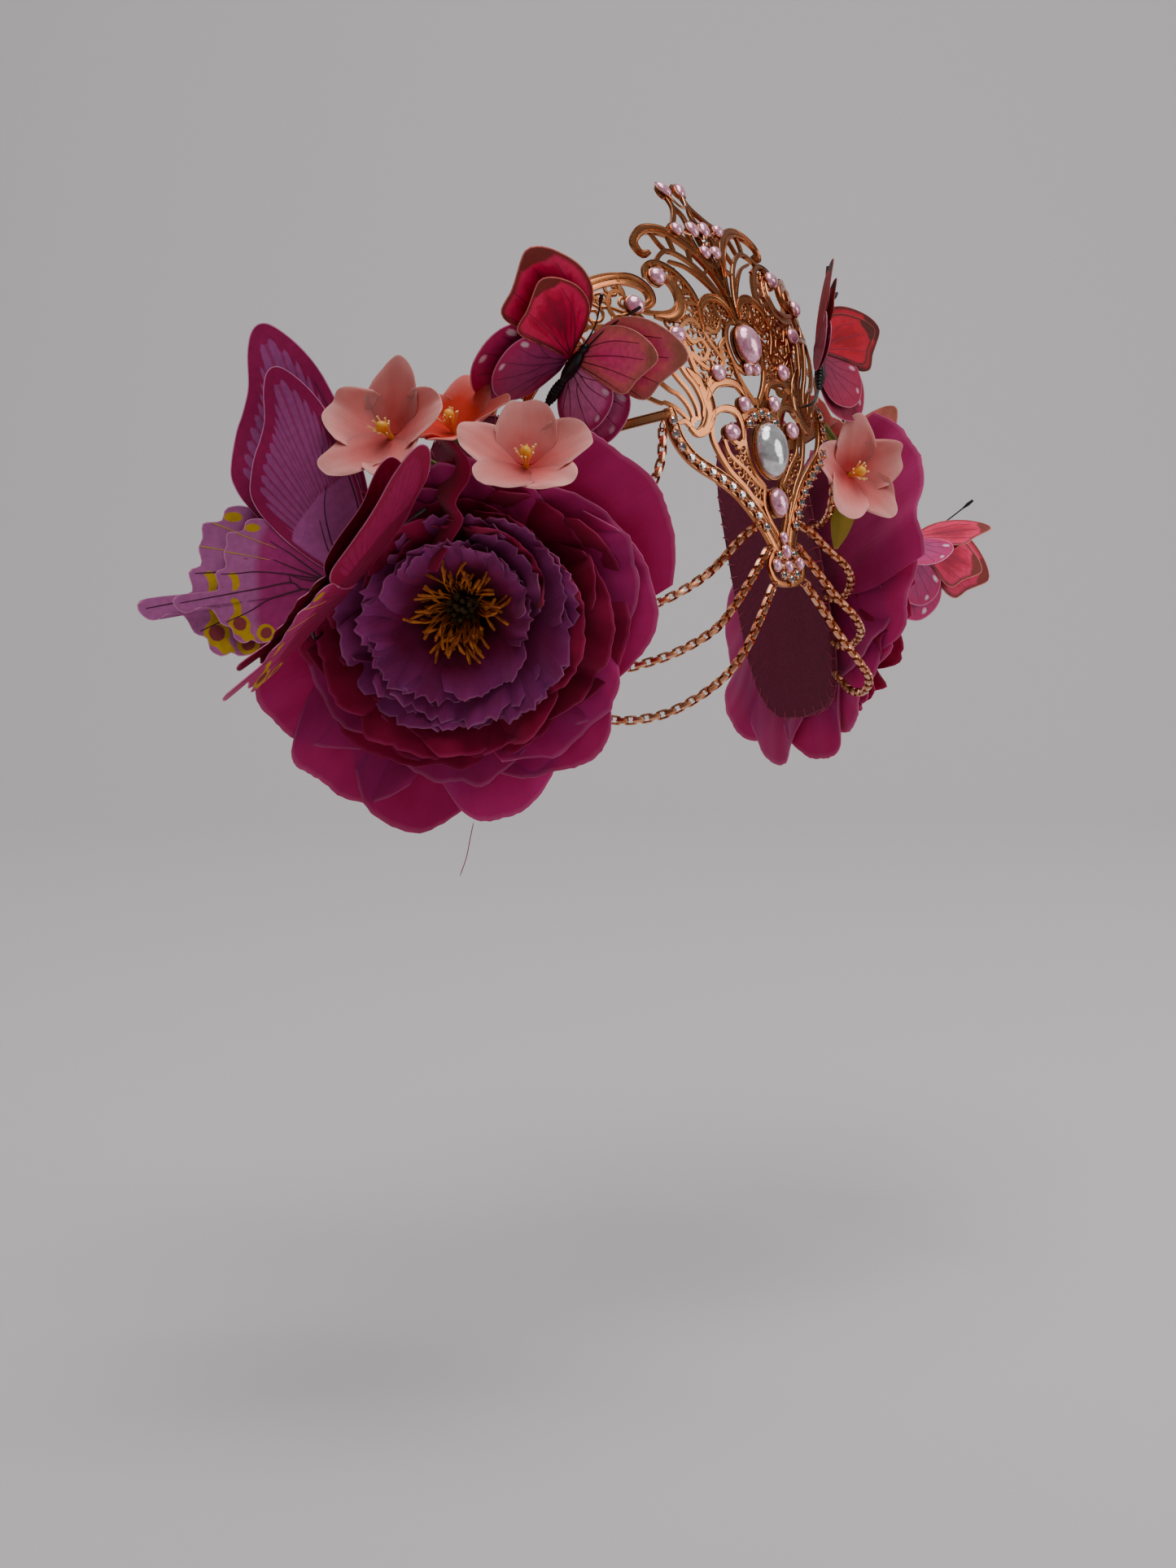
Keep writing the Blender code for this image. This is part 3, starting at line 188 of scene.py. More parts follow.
def crown_middle(s, t):
    """Points of the crown's middle surface, for arrays of s round the head and t up the plate."""
    side, s = np.where(s >= 0, 1.0, -1.0), np.abs(s)
    turn_1 = FRONT_HALF / FRONT_RADIUS
    turn_2 = turn_1 + (CORNER_END - FRONT_HALF) / CORNER_RADIUS
    front = np.minimum(s, FRONT_HALF) / FRONT_RADIUS
    corner = turn_1 + np.clip(s - FRONT_HALF, 0, CORNER_END - FRONT_HALF) / CORNER_RADIUS
    arm = turn_2 + np.maximum(s - CORNER_END, 0) / ARM_RADIUS
    x = (FRONT_RADIUS * np.sin(front) + CORNER_RADIUS * (np.sin(corner) - math.sin(turn_1))
         + ARM_RADIUS * (np.sin(arm) - math.sin(turn_2)))
    back = (FRONT_RADIUS * (1 - np.cos(front)) + CORNER_RADIUS * (math.cos(turn_1) - np.cos(corner))
            + ARM_RADIUS * (math.cos(turn_2) - np.cos(arm)))
    tip = LEAN + np.maximum(t - LEAN_START, 0) * LEAN_PER_MM
    low = np.minimum(t, LEAN_START)
    y = low * math.sin(LEAN) + (math.cos(LEAN) - np.cos(tip)) / LEAN_PER_MM
    z = low * math.cos(LEAN) + (np.sin(tip) - math.sin(LEAN)) / LEAN_PER_MM
    return np.stack([side * x, FRONT_Y + y + back * math.cos(LEAN), z - back * math.sin(LEAN)], -1)


def crown_frame(s, t):
    """Points of the crown, and the directions along s, along t and outwards there."""
    s, t = np.asarray(s, float), np.asarray(t, float)
    along = crown_middle(s + 0.1, t) - crown_middle(s - 0.1, t)
    up = crown_middle(s, t + 0.1) - crown_middle(s, t - 0.1)
    along /= np.linalg.norm(along, axis=-1, keepdims=True)
    up /= np.linalg.norm(up, axis=-1, keepdims=True)
    return crown_middle(s, t), along, up, np.cross(along, up)


def on_crown(s, t, off):
    """Points that stand off the crown's middle surface."""
    point, _, _, out = crown_frame(s, t)
    return point + out * np.asarray(off, float)[..., None]


def travel(line):
    """How far along a line each of its points lies."""
    return np.concatenate([[0], np.cumsum(np.linalg.norm(np.diff(line, axis=0), axis=1))])


def points_at(line, places):
    """Points of a line at these distances along it."""
    travelled = travel(line)
    return np.stack([np.interp(places, travelled, column) for column in line.T], -1)


def left_of(line):
    """Directions to the left of a flat line, at each of its points."""
    ahead = np.gradient(line, axis=0)
    ahead /= np.linalg.norm(ahead, axis=1, keepdims=True)
    return np.stack([-ahead[:, 1], ahead[:, 0]], -1)


def turned(x, y, degrees):
    """Flat coordinates turned anticlockwise about the origin."""
    turn = math.radians(degrees)
    return x * math.cos(turn) - y * math.sin(turn), x * math.sin(turn) + y * math.cos(turn)


def smooth_line(points, step):
    """Points at even steps on a smooth curve through the given ones."""
    points = np.array(points, float)
    padded = np.concatenate([[2 * points[0] - points[1]], points, [2 * points[-1] - points[-2]]])
    fine = []
    for a, b, c, d in zip(padded, padded[1:], padded[2:], padded[3:]):
        for u in np.linspace(0, 1, 16, endpoint=False):
            fine.append(0.5 * (2 * b + (c - a) * u + (2 * a - 5 * b + 4 * c - d) * u * u
                               + (3 * b - 3 * c + d - a) * u ** 3))
    fine = np.array(fine + [points[-1]])
    length = travel(fine)[-1]
    return points_at(fine, np.linspace(0, length, max(3, round(length / step) + 1)))


def tube_faces(rings, around):
    """Faces of a closed band of rings, with its two ends filled."""
    faces = []
    for i in range(rings - 1):
        for j in range(around):
            k = (j + 1) % around
            faces.append((i * around + j, i * around + k, (i + 1) * around + k, (i + 1) * around + j))
    faces.append(tuple(reversed(range(around))))
    faces.append(tuple(range((rings - 1) * around, rings * around)))
    return faces


def join_parts(parts):
    """One list of points and one of faces, from several of each."""
    points, faces, start = [], [], 0
    for some_points, some_faces in parts:
        points.append(np.asarray(some_points, float))
        faces.extend(tuple(start + i for i in face) for face in some_faces)
        start += len(some_points)
    return np.concatenate(points), faces


def add_piece(name, points, faces, looks, slot, replaces=(), smooth=40):
    """Make a piece from points in millimetres, with outward faces, and let it ride on the crown."""
    mesh = bpy.data.meshes.new(name)
    mesh.from_pydata((np.asarray(points) * MM).tolist(), [], faces)
    for look in looks:
        mesh.materials.append(look)
    piece = bpy.data.objects.new(name, mesh)
    bpy.context.scene.collection.objects.link(piece)
    bpy.ops.object.select_all(action="DESELECT")
    piece.select_set(True)
    bpy.context.view_layer.objects.active = piece
    bpy.ops.object.mode_set(mode="EDIT")
    bpy.ops.mesh.select_all(action="SELECT")
    bpy.ops.mesh.normals_make_consistent(inside=False)
    bpy.ops.object.mode_set(mode="OBJECT")
    if smooth:
        bpy.ops.object.shade_smooth_by_angle(angle=math.radians(smooth))
    piece.select_set(False)
    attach(piece, "root")
    if replaces:
        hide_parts(*replaces)
    return piece


def chased_band(line, half, section, swell=False):
    """A band along a line on the crown: section is its closed outline, across as shares of half, and off."""
    travelled = travel(line)
    to_end = np.minimum(travelled, travelled[-1] - travelled)
    wide = half * np.sqrt(np.clip(0.45 + to_end / (2.2 * half), 0, 1))
    if swell:
        wide = half * (0.22 + 0.78 * np.sin(math.pi * travelled / travelled[-1]) ** 0.8)
    across, off = np.array(section).T
    flat = line[:, None, :] + left_of(line)[:, None, :] * (wide[:, None] * across)[..., None]
    points = on_crown(flat[..., 0], flat[..., 1], np.broadcast_to(off, flat.shape[:2]))
    return points.reshape(-1, 3), tube_faces(len(line), len(section))


LIPPED = ((-1.03, -0.62), (-1.05, 0.7), (-0.98, 0.92), (-0.86, 0.94), (-0.78, 0.66), (-0.7, 0.64),
          (-0.64, 0.74), (0, 0.8), (0.64, 0.74), (0.7, 0.64), (0.78, 0.66), (0.86, 0.94), (0.98, 0.92),
          (1.05, 0.7), (1.03, -0.62))
LIPPED_GROOVES = (3, 4, 5, 8, 9, 10)
FLAT = ((-1.0, -0.62), (-1.03, 0.6), (-0.86, 0.78), (0.86, 0.78), (1.03, 0.6), (1.0, -0.62))
HOLLOW = ((-1.0, -0.62), (-1.05, 0.9), (-0.96, 1.12), (-0.84, 1.1), (-0.72, 0.8), (-0.3, 0.66), (0.3, 0.66),
          (0.72, 0.8), (0.84, 1.1), (0.96, 1.12), (1.05, 0.9), (1.0, -0.62))
BROAD, CHASE_STEP = 1.95, 1.3
DISC_SIDES, DISC_LOW, DISC_HIGH = 24, -0.6, 0.62
SCROLLS = (
    # greatest width, hollow, half of the plate: the broad crescents, widest at their middles
    (5.6, False, ((33.6, 30.8), (28.0, 23.9), (26.1, 16.1), (29.1, 9.5), (34.1, 7.0), (37.3, 9.1))),
    (4.2, True, ((34.4, 67.6), (30, 66.6), (27, 62), (26.6, 57), (28.9, 52), (34, 49.8), (41, 50.8))),
    (5.0, True, ((45.6, 54.2), (40.8, 57.2), (41, 62), (46, 65.6), (53, 66.8), (62, 65.4), (73, 61),
                 (87, 52.4))),
    (3.6, True, ((20.4, 45), (19, 52), (14, 56.6), (8.6, 57.2), (4.2, 54), (2.2, 49))),
    (4.2, True, ((3, 66.6), (8.4, 76.6), (15.4, 84), (23, 87), (30, 86.4), (36, 81.6), (35.4, 76.8),
                 (31.6, 77))),
    (3.4, False, ((27.2, 18.4), (22, 23.9), (16, 25.2), (10, 24), (6.6, 19.6))),
    (2.8, False, ((27, 10.6), (23, 14.4), (17.6, 15.4), (12.6, 13.6), (11, 8.6), (12.2, 3.4))),
)
DISCS = (
    # s, t, half width, half height, turn: the flat seats of the stones
    (0, -1.2, 7.4, 10.6, 10), (0, 38.6, 6.6, 8.2, 0), (0, -20.4, 4.8, 5.6, 0), (34, 66.2, 3.8, 3.8, 0),
    (48, 55.6, 3.8, 3.8, 0), (34.4, 43.2, 4.0, 3.6, 0), (19.3, 28.4, 3.6, 3.4, 0), (8.9, 16.4, 3.2, 3.2, 0),
    (18, 6.4, 4.2, 3.2, 0), (12.5, 87, 3.0, 3.0, 0), (4.7, 106, 2.8, 4.0, 20), (2.6, 30, 2.8, 2.6, 0),
)
# The sunk lines are painted a dark brown: painted shade in the grooves.
engraved_shadow, _ = new_look("engraving_painted_shade", Metallic=1.0, Roughness=0.5,
                              Base_Color=linear("#5c3626"))
parts, numbers = [], []


def chase(width, section, points, swell=False):
    """Add one chased band on both halves, with the engraved faces of its section numbered apart for the
    painted shade.
    """
    for side in (1, -1):
        line = smooth_line([(side * s, t) for s, t in points], CHASE_STEP)
        parts.append(chased_band(line, width / 2, section, swell))
        for _ in line[1:]:
            # The faces of the sunk lines take the painted shade.
            numbers.extend([int(section is LIPPED and j in LIPPED_GROOVES) for j in range(len(section))])
        numbers.extend([0, 0])


for width, points in STROKES:
    chase(width, LIPPED if width > BROAD else FLAT, points)
for width, hollow, points in SCROLLS:
    chase(width, HOLLOW if hollow else LIPPED, points, True)
around = np.linspace(0, math.tau, DISC_SIDES, endpoint=False)
for s, t, half_s, half_t, turn in DISCS:
    x, y = turned(half_s * np.cos(around), half_t * np.sin(around), turn)
    for side in (1, -1) if s else (1,):
        disc = [on_crown(side * (s + x), t + y, np.full(DISC_SIDES, off)) for off in (DISC_LOW, DISC_HIGH)]
        parts.append((np.concatenate(disc), tube_faces(2, DISC_SIDES)))
        numbers.extend([0] * (DISC_SIDES + 2))
piece = add_piece("crown_chasing", *join_parts(parts), [satin_rose_gold, engraved_shadow], "rose_gold",
                  ["crown_plate"], smooth=35)
piece.data.polygons.foreach_set("material_index", numbers)

# Lace of the crown. Small scrolls are pierced in the panels between the strokes, of bands 0.5 mm wide, and
# 1.2 mm on the side wings. They are set close enough to touch, as the cut sheet leaves them.
LACE_BAND = ((-1.0, -0.5), (-1.0, 0.5), (-0.5, 0.66), (0.5, 0.66), (1.0, 0.5), (1.0, -0.5))
LACE_TRIES, CURL_STEPS = 1500, 8
LACE_PANELS = (
    # distance between scrolls, half width of a band, turn of a scroll, outline of the panel on the left half
    (3.0, 0.25, 310, ((10, 31), (15, 40), (10, 48), (12, 55), (19, 50), (26, 50), (33, 49), (38, 48),
                      (34, 40), (29, 33), (26, 22), (20, 28), (14, 27))),
    (2.8, 0.24, 310, ((4, 50), (6, 55), (12, 56), (17, 52), (18, 46), (12, 46), (6, 47))),
    (2.8, 0.25, 310, ((20, 50), (19, 60), (24, 68), (30, 71), (33, 68), (27, 66), (24.6, 60), (25, 54),
                      (27, 50))),
    (5.6, 0.6, 450, ((47, 46), (47, 58), (52, 63), (60, 63.5), (71, 59), (84, 51), (95, 41), (102, 31),
                     (97, 29), (85, 40), (71, 45), (58, 45))),
    (2.5, 0.25, 310, ((3, -17), (11, -8), (12, 2), (19, -2), (22, -5), (16, -10), (9, -19), (4, -28))),
)


def within(point, outline):
    """Whether a flat point lies inside an outline."""
    inside = False
    for (x1, y1), (x2, y2) in zip(outline, [*outline[1:], outline[0]]):
        if (y1 > point[1]) != (y2 > point[1]) and point[0] < (x2 - x1) * (point[1] - y1) / (y2 - y1) + x1:
            inside = not inside
    return inside


chance = random.Random(4)
parts = []
for apart, half, degrees, outline in LACE_PANELS:
    low, high = np.min(outline, axis=0), np.max(outline, axis=0)
    centres = []
    for _ in range(LACE_TRIES):
        spot = (chance.uniform(low[0], high[0]), chance.uniform(low[1], high[1]))
        if within(spot, outline) and all(math.dist(spot, other) > apart for other in centres):
            centres.append(spot)
    for spot in centres:
        lean, hand = chance.uniform(0, math.tau), chance.choice((-1, 1))
        curl = []
        for i in range(CURL_STEPS + 1):
            turn = lean + hand * math.radians(degrees) * i / CURL_STEPS
            radius = apart * (0.64 - 0.42 * i / CURL_STEPS)
            curl.append((spot[0] + radius * math.cos(turn), spot[1] + radius * math.sin(turn)))
        tail_turn = lean - hand * 0.9
        tail = (spot[0] + apart * math.cos(tail_turn), spot[1] + apart * math.sin(tail_turn))
        for side in (1, -1):
            line = smooth_line([(side * s, t) for s, t in [tail, *curl]], 0.22 * apart)
            parts.append(chased_band(line, half, LACE_BAND))
add_piece("crown_lace", *join_parts(parts), [satin_rose_gold], "rose_gold", smooth=30)

# Domed stones. Pressed glass cabochons with foil on the back, rubbed over into thin plated collets.
# The clear one in the middle is larger; the pink ones shade from deep pink at the rim to silver-pink.
pearl_pink, shader = new_look("pink_foiled_glass", Metallic=0.5, Roughness=0.16, Coat_Weight=1.0,
                              Coat_Roughness=0.03, Coat_IOR=1.52)
# The foil behind the glass is drawn in streaks 1 to 2 mm wide.
_, streaks = cloudy(pearl_pink, shader, 620, ((0.3, "#da84a6"), (0.5, "#f2a8c4"), (0.7, "#fbd2e0")),
                    Detail=2, Distortion=1.4)
ripple = add_node(pearl_pink, "ShaderNodeBump", {"Strength": 0.12, "Distance": 0.0006}, {"Height": streaks})
feed(pearl_pink, shader, "Normal", ripple.outputs["Normal"])
# Clear glass over silver foil: bright, with faint streaks about 4 mm wide.
silver_glass, shader = new_look("clear_foiled_glass", Metallic=0.6, Roughness=0.12, Coat_Weight=1.0,
                                Coat_Roughness=0.02, Coat_IOR=1.52)
_, streaks = cloudy(silver_glass, shader, 260, ((0.35, "#bcbdbf"), (0.65, "#e6e7e8")), Detail=2,
                    Distortion=1.0)
ripple = add_node(silver_glass, "ShaderNodeBump", {"Strength": 0.08, "Distance": 0.001},
                  {"Height": streaks})
feed(silver_glass, shader, "Normal", ripple.outputs["Normal"])
# The rubbed-over rims are polished and catch small bright highlights.
collet_gold, _ = new_look("polished_collet", Metallic=1.0, Roughness=0.2, Base_Color=linear("#c98a66"))
DOMES = (
    # node, s, t, half width, half height, turn, both sides, clear
    ("stone_centre_clear", 0, -1.2, 8.2, 10.3, 10, False, True),
    ("stone_brow_pink", 0, 38.6, 6.0, 7.4, 0, False, False),
    ("stone_drop_pink", 0, -20.4, 4.4, 5.3, 0, False, False),
    ("stone_scroll", 34, 66.2, 3.3, 3.3, 0, True, False),
    ("stone_side", 48, 55.6, 3.4, 3.4, 0, True, False),
    ("stone_shoulder", 34.4, 43.2, 3.4, 3.0, 0, True, False),
    ("stone_cheek", 19.3, 28.4, 3.2, 3.0, 0, True, False),
    ("stone_moon", 8.9, 16.4, 2.9, 2.9, 0, True, False),
    ("stone_lobe", 18, 6.4, 3.6, 3.0, 0, True, False),
)
SEAT = 0.95


def shape_of(made):
    """Take the points and faces out of a primitive that was just modelled, and remove its object."""
    mesh = made.data
    points = np.array([v.co for v in mesh.vertices])
    faces = [tuple(p.vertices) for p in mesh.polygons]
    bpy.data.objects.remove(made)
    return points, faces


# One dome, radius 1, modelled once: half a sphere with a straight girdle and a flat back.
bpy.ops.mesh.primitive_uv_sphere_add(segments=32, ring_count=20, radius=1)
bpy.ops.object.mode_set(mode="EDIT")
bpy.ops.mesh.select_all(action="SELECT")
bpy.ops.mesh.bisect(plane_co=(0, 0, 0), plane_no=(0, 0, 1), clear_inner=True)
bpy.ops.mesh.extrude_edges_move(TRANSFORM_OT_translate={"value": (0, 0, -0.3)})
bpy.ops.mesh.edge_face_add()
bpy.ops.object.mode_set(mode="OBJECT")
dome_points, dome_faces = shape_of(bpy.context.object)
# One collet: a ring of thin wall, rolled over the girdle.
bpy.ops.mesh.primitive_torus_add(major_segments=32, minor_segments=8, major_radius=1.0, minor_radius=0.07)
rim_points, rim_faces = shape_of(bpy.context.object)


def seat_on_crown(points, s, t, turn, lift):
    """Turn a shape that stands on the flat, z outwards, to its place on the crown."""
    point, along, up, out = crown_frame(s, t)
    x, y = turned(points[:, 0], points[:, 1], turn)
    return point + np.outer(x, along) + np.outer(y, up) + np.outer(points[:, 2] + lift, out)


def dome_parts(s, t, half_s, half_t, turn):
    """Dome and collet of one stone."""
    small = min(half_s, half_t)
    dome = dome_points * (half_s, half_t, small * 0.68)
    rim = rim_points * (half_s * 1.03, half_t * 1.03, small * 1.6)
    return ((seat_on_crown(dome, s, t, turn, SEAT + small * 0.2), dome_faces),
            (seat_on_crown(rim, s, t, turn, SEAT + small * 0.12), rim_faces))


def paint(piece, parts, numbers):
    """Give each part of a joined piece its own material by number."""
    made = []
    for (_, faces), number in zip(parts, numbers):
        made.extend([number] * len(faces))
    piece.data.polygons.foreach_set("material_index", made)


for node, s, t, half_s, half_t, turn, both, clear in DOMES:
    for side, word in ((1, "_left"), (-1, "_right")) if both else ((1, ""),):
        parts = dome_parts(side * s, t, half_s, half_t, -side * turn)
        looks = [silver_glass if clear else pearl_pink, collet_gold]
        piece = add_piece(node + word + "_domed", *join_parts(parts), looks,
                          "crystal" if clear else "pink_stone", [node + word])
        paint(piece, parts, (0, 1))

# Rows of small stones. Round foiled rhinestones of 3.5 mm in four-claw cups, soldered close together,
# and small pink domes on the plume, at the two tips and under the brow stone.
# Cut glass on a mirror, with painted reflections: each flat facet gets its own grey, as the patch of the
# room it would throw back.
cut_crystal, shader = new_look("cut_foiled_crystal", Metallic=1.0, Roughness=0.04, Coat_Weight=1.0,
                               Coat_Roughness=0.02)
facet = add_node(cut_crystal, "ShaderNodeAttribute", {"attribute_name": "facet"})
# Painted reflections: each facet takes a random grey, so neighbours go from dark to white, as if each showed
# another part of the foiled back.
painted_facet_reflection = add_node(cut_crystal, "ShaderNodeValToRGB",
                 {"stops": ((0.0, "#3b3a3d"), (0.35, "#8d8b8e"), (0.6, "#d9d8da"), (1.0, "#ffffff"))},
                 {"Fac": facet.outputs["Fac"]})
feed(cut_crystal, shader, "Base Color", painted_facet_reflection.outputs["Color"])
RIM_STONES = ((44.5, 12.0), (44.6, 7.2), (43.0, 2.4), (39.8, -1.9), (35.7, -5.2), (31.4, -7.8),
              (27.1, -10.5), (22.9, -13.5), (19.0, -16.8), (15.4, -20.7), (12.1, -24.8), (8.9, -29.1))
ARC_STONES = ((-7.6, 9.4), (-4.2, 12.0), (0, 13.0), (4.2, 12.0), (7.6, 9.4))
RHINESTONE = 1.75
TAIL_CLEAR = ((-4.4, -39.6), (4.4, -39.6), (-3.9, -47.2), (3.9, -47.2), (0, -48.9))
PLUME_LINKS = (((-12.2, 86.6), (-6, 84.4), (-3, 86)), ((12.2, 86.6), (6, 84.4), (3, 86)),
               ((-3, 86.6), (0, 81), (3, 86.6)), ((-3, 76.2), (0, 81), (3, 76.2)))
ROWS = (
    # node, clear stones (s, t, radius), pink domes (s, t, half width, half height, turn), bands, their width
    ("rim_stones_left", [(s, t, RHINESTONE) for s, t in RIM_STONES], (), (RIM_STONES,), 1.0),
    ("rim_stones_right", [(-s, t, RHINESTONE) for s, t in RIM_STONES], (),
     ([(-s, t) for s, t in RIM_STONES],), 1.0),
    ("arc_stones", [(s, t, RHINESTONE) for s, t in ARC_STONES], (), (((-9, 7.6), *ARC_STONES, (9, 7.6)),),
     1.6),
    ("tail_stones", [(s, t, 1.6) for s, t in TAIL_CLEAR],
     ((0, -33.4, 2.0, 2.1, 0), (0, -38.6, 2.2, 2.6, 0), (-6.9, -43.4, 2.1, 2.3, 0),
      (6.9, -43.4, 2.1, 2.3, 0), (0, -44.2, 2.0, 2.2, 0)),
     (((0, -32.6), (0, -50.4)), ((-6.6, -43.4), (6.6, -43.4)), ((-4.4, -39.6), (4.4, -39.6)),
      ((-3.9, -47.2), (3.9, -47.2))), 3.4),
    ("plume_stones", [(0, 81, 1.5)],
     ((-3.4, 86.6, 2.5, 3.3, 12), (3.4, 86.6, 2.5, 3.3, -12), (-3.1, 76.4, 2.4, 2.6, 0),
      (3.1, 76.4, 2.4, 2.6, 0), (-12.2, 86.6, 2.6, 2.6, 0), (12.2, 86.6, 2.6, 2.6, 0)), PLUME_LINKS, 1.2),
    ("tip_stones", [], ((-4.8, 106, 2.4, 3.6, 28), (4.8, 106, 2.4, 3.6, -28)),
     (((-4.8, 106), (-2.6, 99), (0, 97), (2.6, 99), (4.8, 106)),), 1.2),
    ("under_stones", [], ((-2.4, 29.6, 2.2, 2.4, 0), (2.4, 29.6, 2.2, 2.4, 0)), (((-2.5, 30), (2.5, 30)),),
     1.2),
)
CARRIER = ((-1.0, 0.9), (-1.0, 1.35), (1.0, 1.35), (1.0, 0.9))
# One cut stone, radius 1: girdle, eight long and eight short facets, and a flat table.
bpy.ops.mesh.primitive_cone_add(vertices=16, radius1=1, radius2=0.5, depth=0.5, end_fill_type="NGON")
bpy.ops.object.mode_set(mode="EDIT")
bpy.ops.mesh.select_all(action="SELECT")
bpy.ops.mesh.quads_convert_to_tris(quad_method="BEAUTY")
bpy.ops.mesh.poke()
bpy.ops.object.mode_set(mode="OBJECT")
cut_points, cut_faces = shape_of(bpy.context.object)
# One claw cup, radius 1: a short wall and four claws bent over the stone.
bpy.ops.mesh.primitive_torus_add(major_segments=16, minor_segments=6, major_radius=1.0, minor_radius=0.16)
cup_points, cup_faces = shape_of(bpy.context.object)
bpy.ops.mesh.primitive_uv_sphere_add(segments=8, ring_count=6, radius=0.22)
claw_points, claw_faces = shape_of(bpy.context.object)

chance = random.Random(9)
for node, cuts, domes, bands, width in ROWS:
    parts, numbers = [], []
    for band in bands:
        parts.append(chased_band(smooth_line(band, 1.2), width / 2, CARRIER))
        numbers.append(1)
    for s, t, radius in cuts:
        parts.append((seat_on_crown(cut_points * (radius, radius, radius * 0.9), s, t,
                                    chance.uniform(0, 90), SEAT + radius * 0.55), cut_faces))
        parts.append((seat_on_crown(cup_points * (radius, radius, radius * 1.6), s, t, 0,
                                    SEAT + radius * 0.2), cup_faces))
        numbers += [0, 1]
        for i in range(4):
            turn = math.radians(45 + 90 * i)
            claw = claw_points * (1, 1, 2.0) + np.array((math.cos(turn), math.sin(turn), 0.5))
            parts.append((seat_on_crown(claw * radius, s, t, 0, SEAT), claw_faces))
            numbers.append(1)
    for dome in domes:
        parts.extend(dome_parts(*dome))
        numbers += [2, 1]
    slot = "crystal" if len(cuts) > 1 else "pink_stone"
    piece = add_piece(node + "_set", *join_parts(parts), [cut_crystal, collet_gold, pearl_pink], slot,
                      [node], smooth=0)
    paint(piece, parts, numbers)
    # A random value for each face, for the painted facet reflections.
    facets = piece.data.attributes.new("facet", "FLOAT", "FACE")
    facets.data.foreach_set("value", [chance.random() for _ in piece.data.polygons])
    piece.data.polygons.foreach_set("use_smooth", [p.material_index != 0 for p in piece.data.polygons])

# Box chains. Eight lengths of rose-gold box chain: square links of flat strip, 4.7 by 3.5 mm, each one
# turned a quarter to the next. They hang from small jump rings in the plate's lower edge.
CHAINS = (
    ("chain_upper", ((14, -28.8, 0), (18, -30.4, 0), (24, -33.5, 0), (32, -38.5, 0), (42, -44, 1),
                     (55, -49.5, 0), (70, -53, -1.5), (84, -53.5, -1)), -51),
    ("chain_middle", ((9.2, -37.2, 0), (13.6, -41, 0), (21, -47.5, 0), (31, -56, 0), (43, -64, 1),
                      (57, -69.5, 0), (72, -72, -1.5), (86, -72, -1)), -69),
    ("chain_lower", ((10.2, -51, 0), (13.6, -54.8, 0), (20, -62, 0), (29, -71.5, 0), (40, -80, 0),
                     (54, -87, 0), (69, -91, -1.5), (86, -89.5, -1)), -81),
    ("chain_corner", ((48.8, 10.0, 0), (49.9, 4.5, 0), (52.4, -3, 0), (59, -12, 0), (70, -19.5, -1.5),
                      (83, -23, -1)), -23),
)
LINK_PITCH, LINK_LONG, LINK_WIDE, END_GAP = 2.9, 1.95, 1.3, 2
HEAD_MIDDLE_Y = -20
PAD_CENTRE, PAD_HALF, PAD_CORNER = (120.0, -34.0), (24.0, 61.0), 0.55
# Bright plated strip, whose tone drifts over about 4 mm, the length of a link.
link_gold, shader = new_look("bright_rose_gold_strip", Metallic=1.0, Roughness=0.2)
cloudy(link_gold, shader, 240, ((0.35, "#bb7350"), (0.65, "#e5a680")), Detail=2)
# One link: a ring of flat strip pressed to a long square.
bpy.ops.mesh.primitive_torus_add(major_segments=16, minor_segments=4, major_radius=1.0, minor_radius=0.25)
link_points, link_faces = shape_of(bpy.context.object)
turn = np.arctan2(link_points[:, 1], link_points[:, 0])
reach = np.hypot(link_points[:, 0], link_points[:, 1])
square = (np.abs(np.cos(turn)) ** 6 + np.abs(np.sin(turn)) ** 6) ** (-1 / 6)
link_points = np.stack([np.cos(turn) * square * (1 + (reach - 1) * 0.8) * LINK_LONG,
                        np.sin(turn) * square * (1 + (reach - 1) * 1.4) * LINK_WIDE,
                        link_points[:, 2] * 3.6], -1)
bpy.ops.mesh.primitive_torus_add(major_segments=20, minor_segments=8, major_radius=1.9, minor_radius=0.35)
ring_points, ring_faces = shape_of(bpy.context.object)


def along_line(points, centre, ahead, out):
    """Turn a shape so that its x lies ahead and its z outwards, at a centre."""
    ahead = ahead / np.linalg.norm(ahead)
    out = out - ahead * (out @ ahead)
    out = out / np.linalg.norm(out)
    return centre + points @ np.stack([ahead, np.cross(out, ahead), out])


for node, route, pad_t in CHAINS:
    share = abs((pad_t - PAD_CENTRE[1]) / PAD_HALF[1]) ** (2 / PAD_CORNER)
    edge = PAD_CENTRE[0] - PAD_HALF[0] * (1 - share) ** (PAD_CORNER / 2)
    route = [*route, (edge, pad_t, 1.95)]
    for side, word in ((1, "left"), (-1, "right")):
        fine = smooth_line(on_crown(*(np.array(route, float) * (side, 1, 1)).T), 0.5)
        linked = travel(fine)[-1] - 2 * END_GAP
        count = round(linked / LINK_PITCH)
        parts = []
        outward = crown_frame(side * route[0][0], route[0][1])[3]
        for i in range(count + 1):
            at = END_GAP + linked * i / count
            earlier, centre, later = points_at(fine, (at - 1, at, at + 1))
            ahead = later - earlier
            level = np.array((centre[0], centre[1] - HEAD_MIDDLE_Y, 0.0))
            out = level / np.linalg.norm(level)
            if i % 2:
                out = np.cross(ahead, out)
            parts.append((along_line(link_points, centre, ahead, out), link_faces))
        ahead = fine[3] - fine[0]
        start_ring = fine[0] - ahead / np.linalg.norm(ahead) * 0.6
        parts.append((along_line(ring_points, start_ring, ahead, np.cross(ahead, outward)), ring_faces))
        add_piece(f"{node}_{word}_links", *join_parts(parts), [link_gold], "rose_gold", [f"{node}_{word}"],
                  smooth=30)

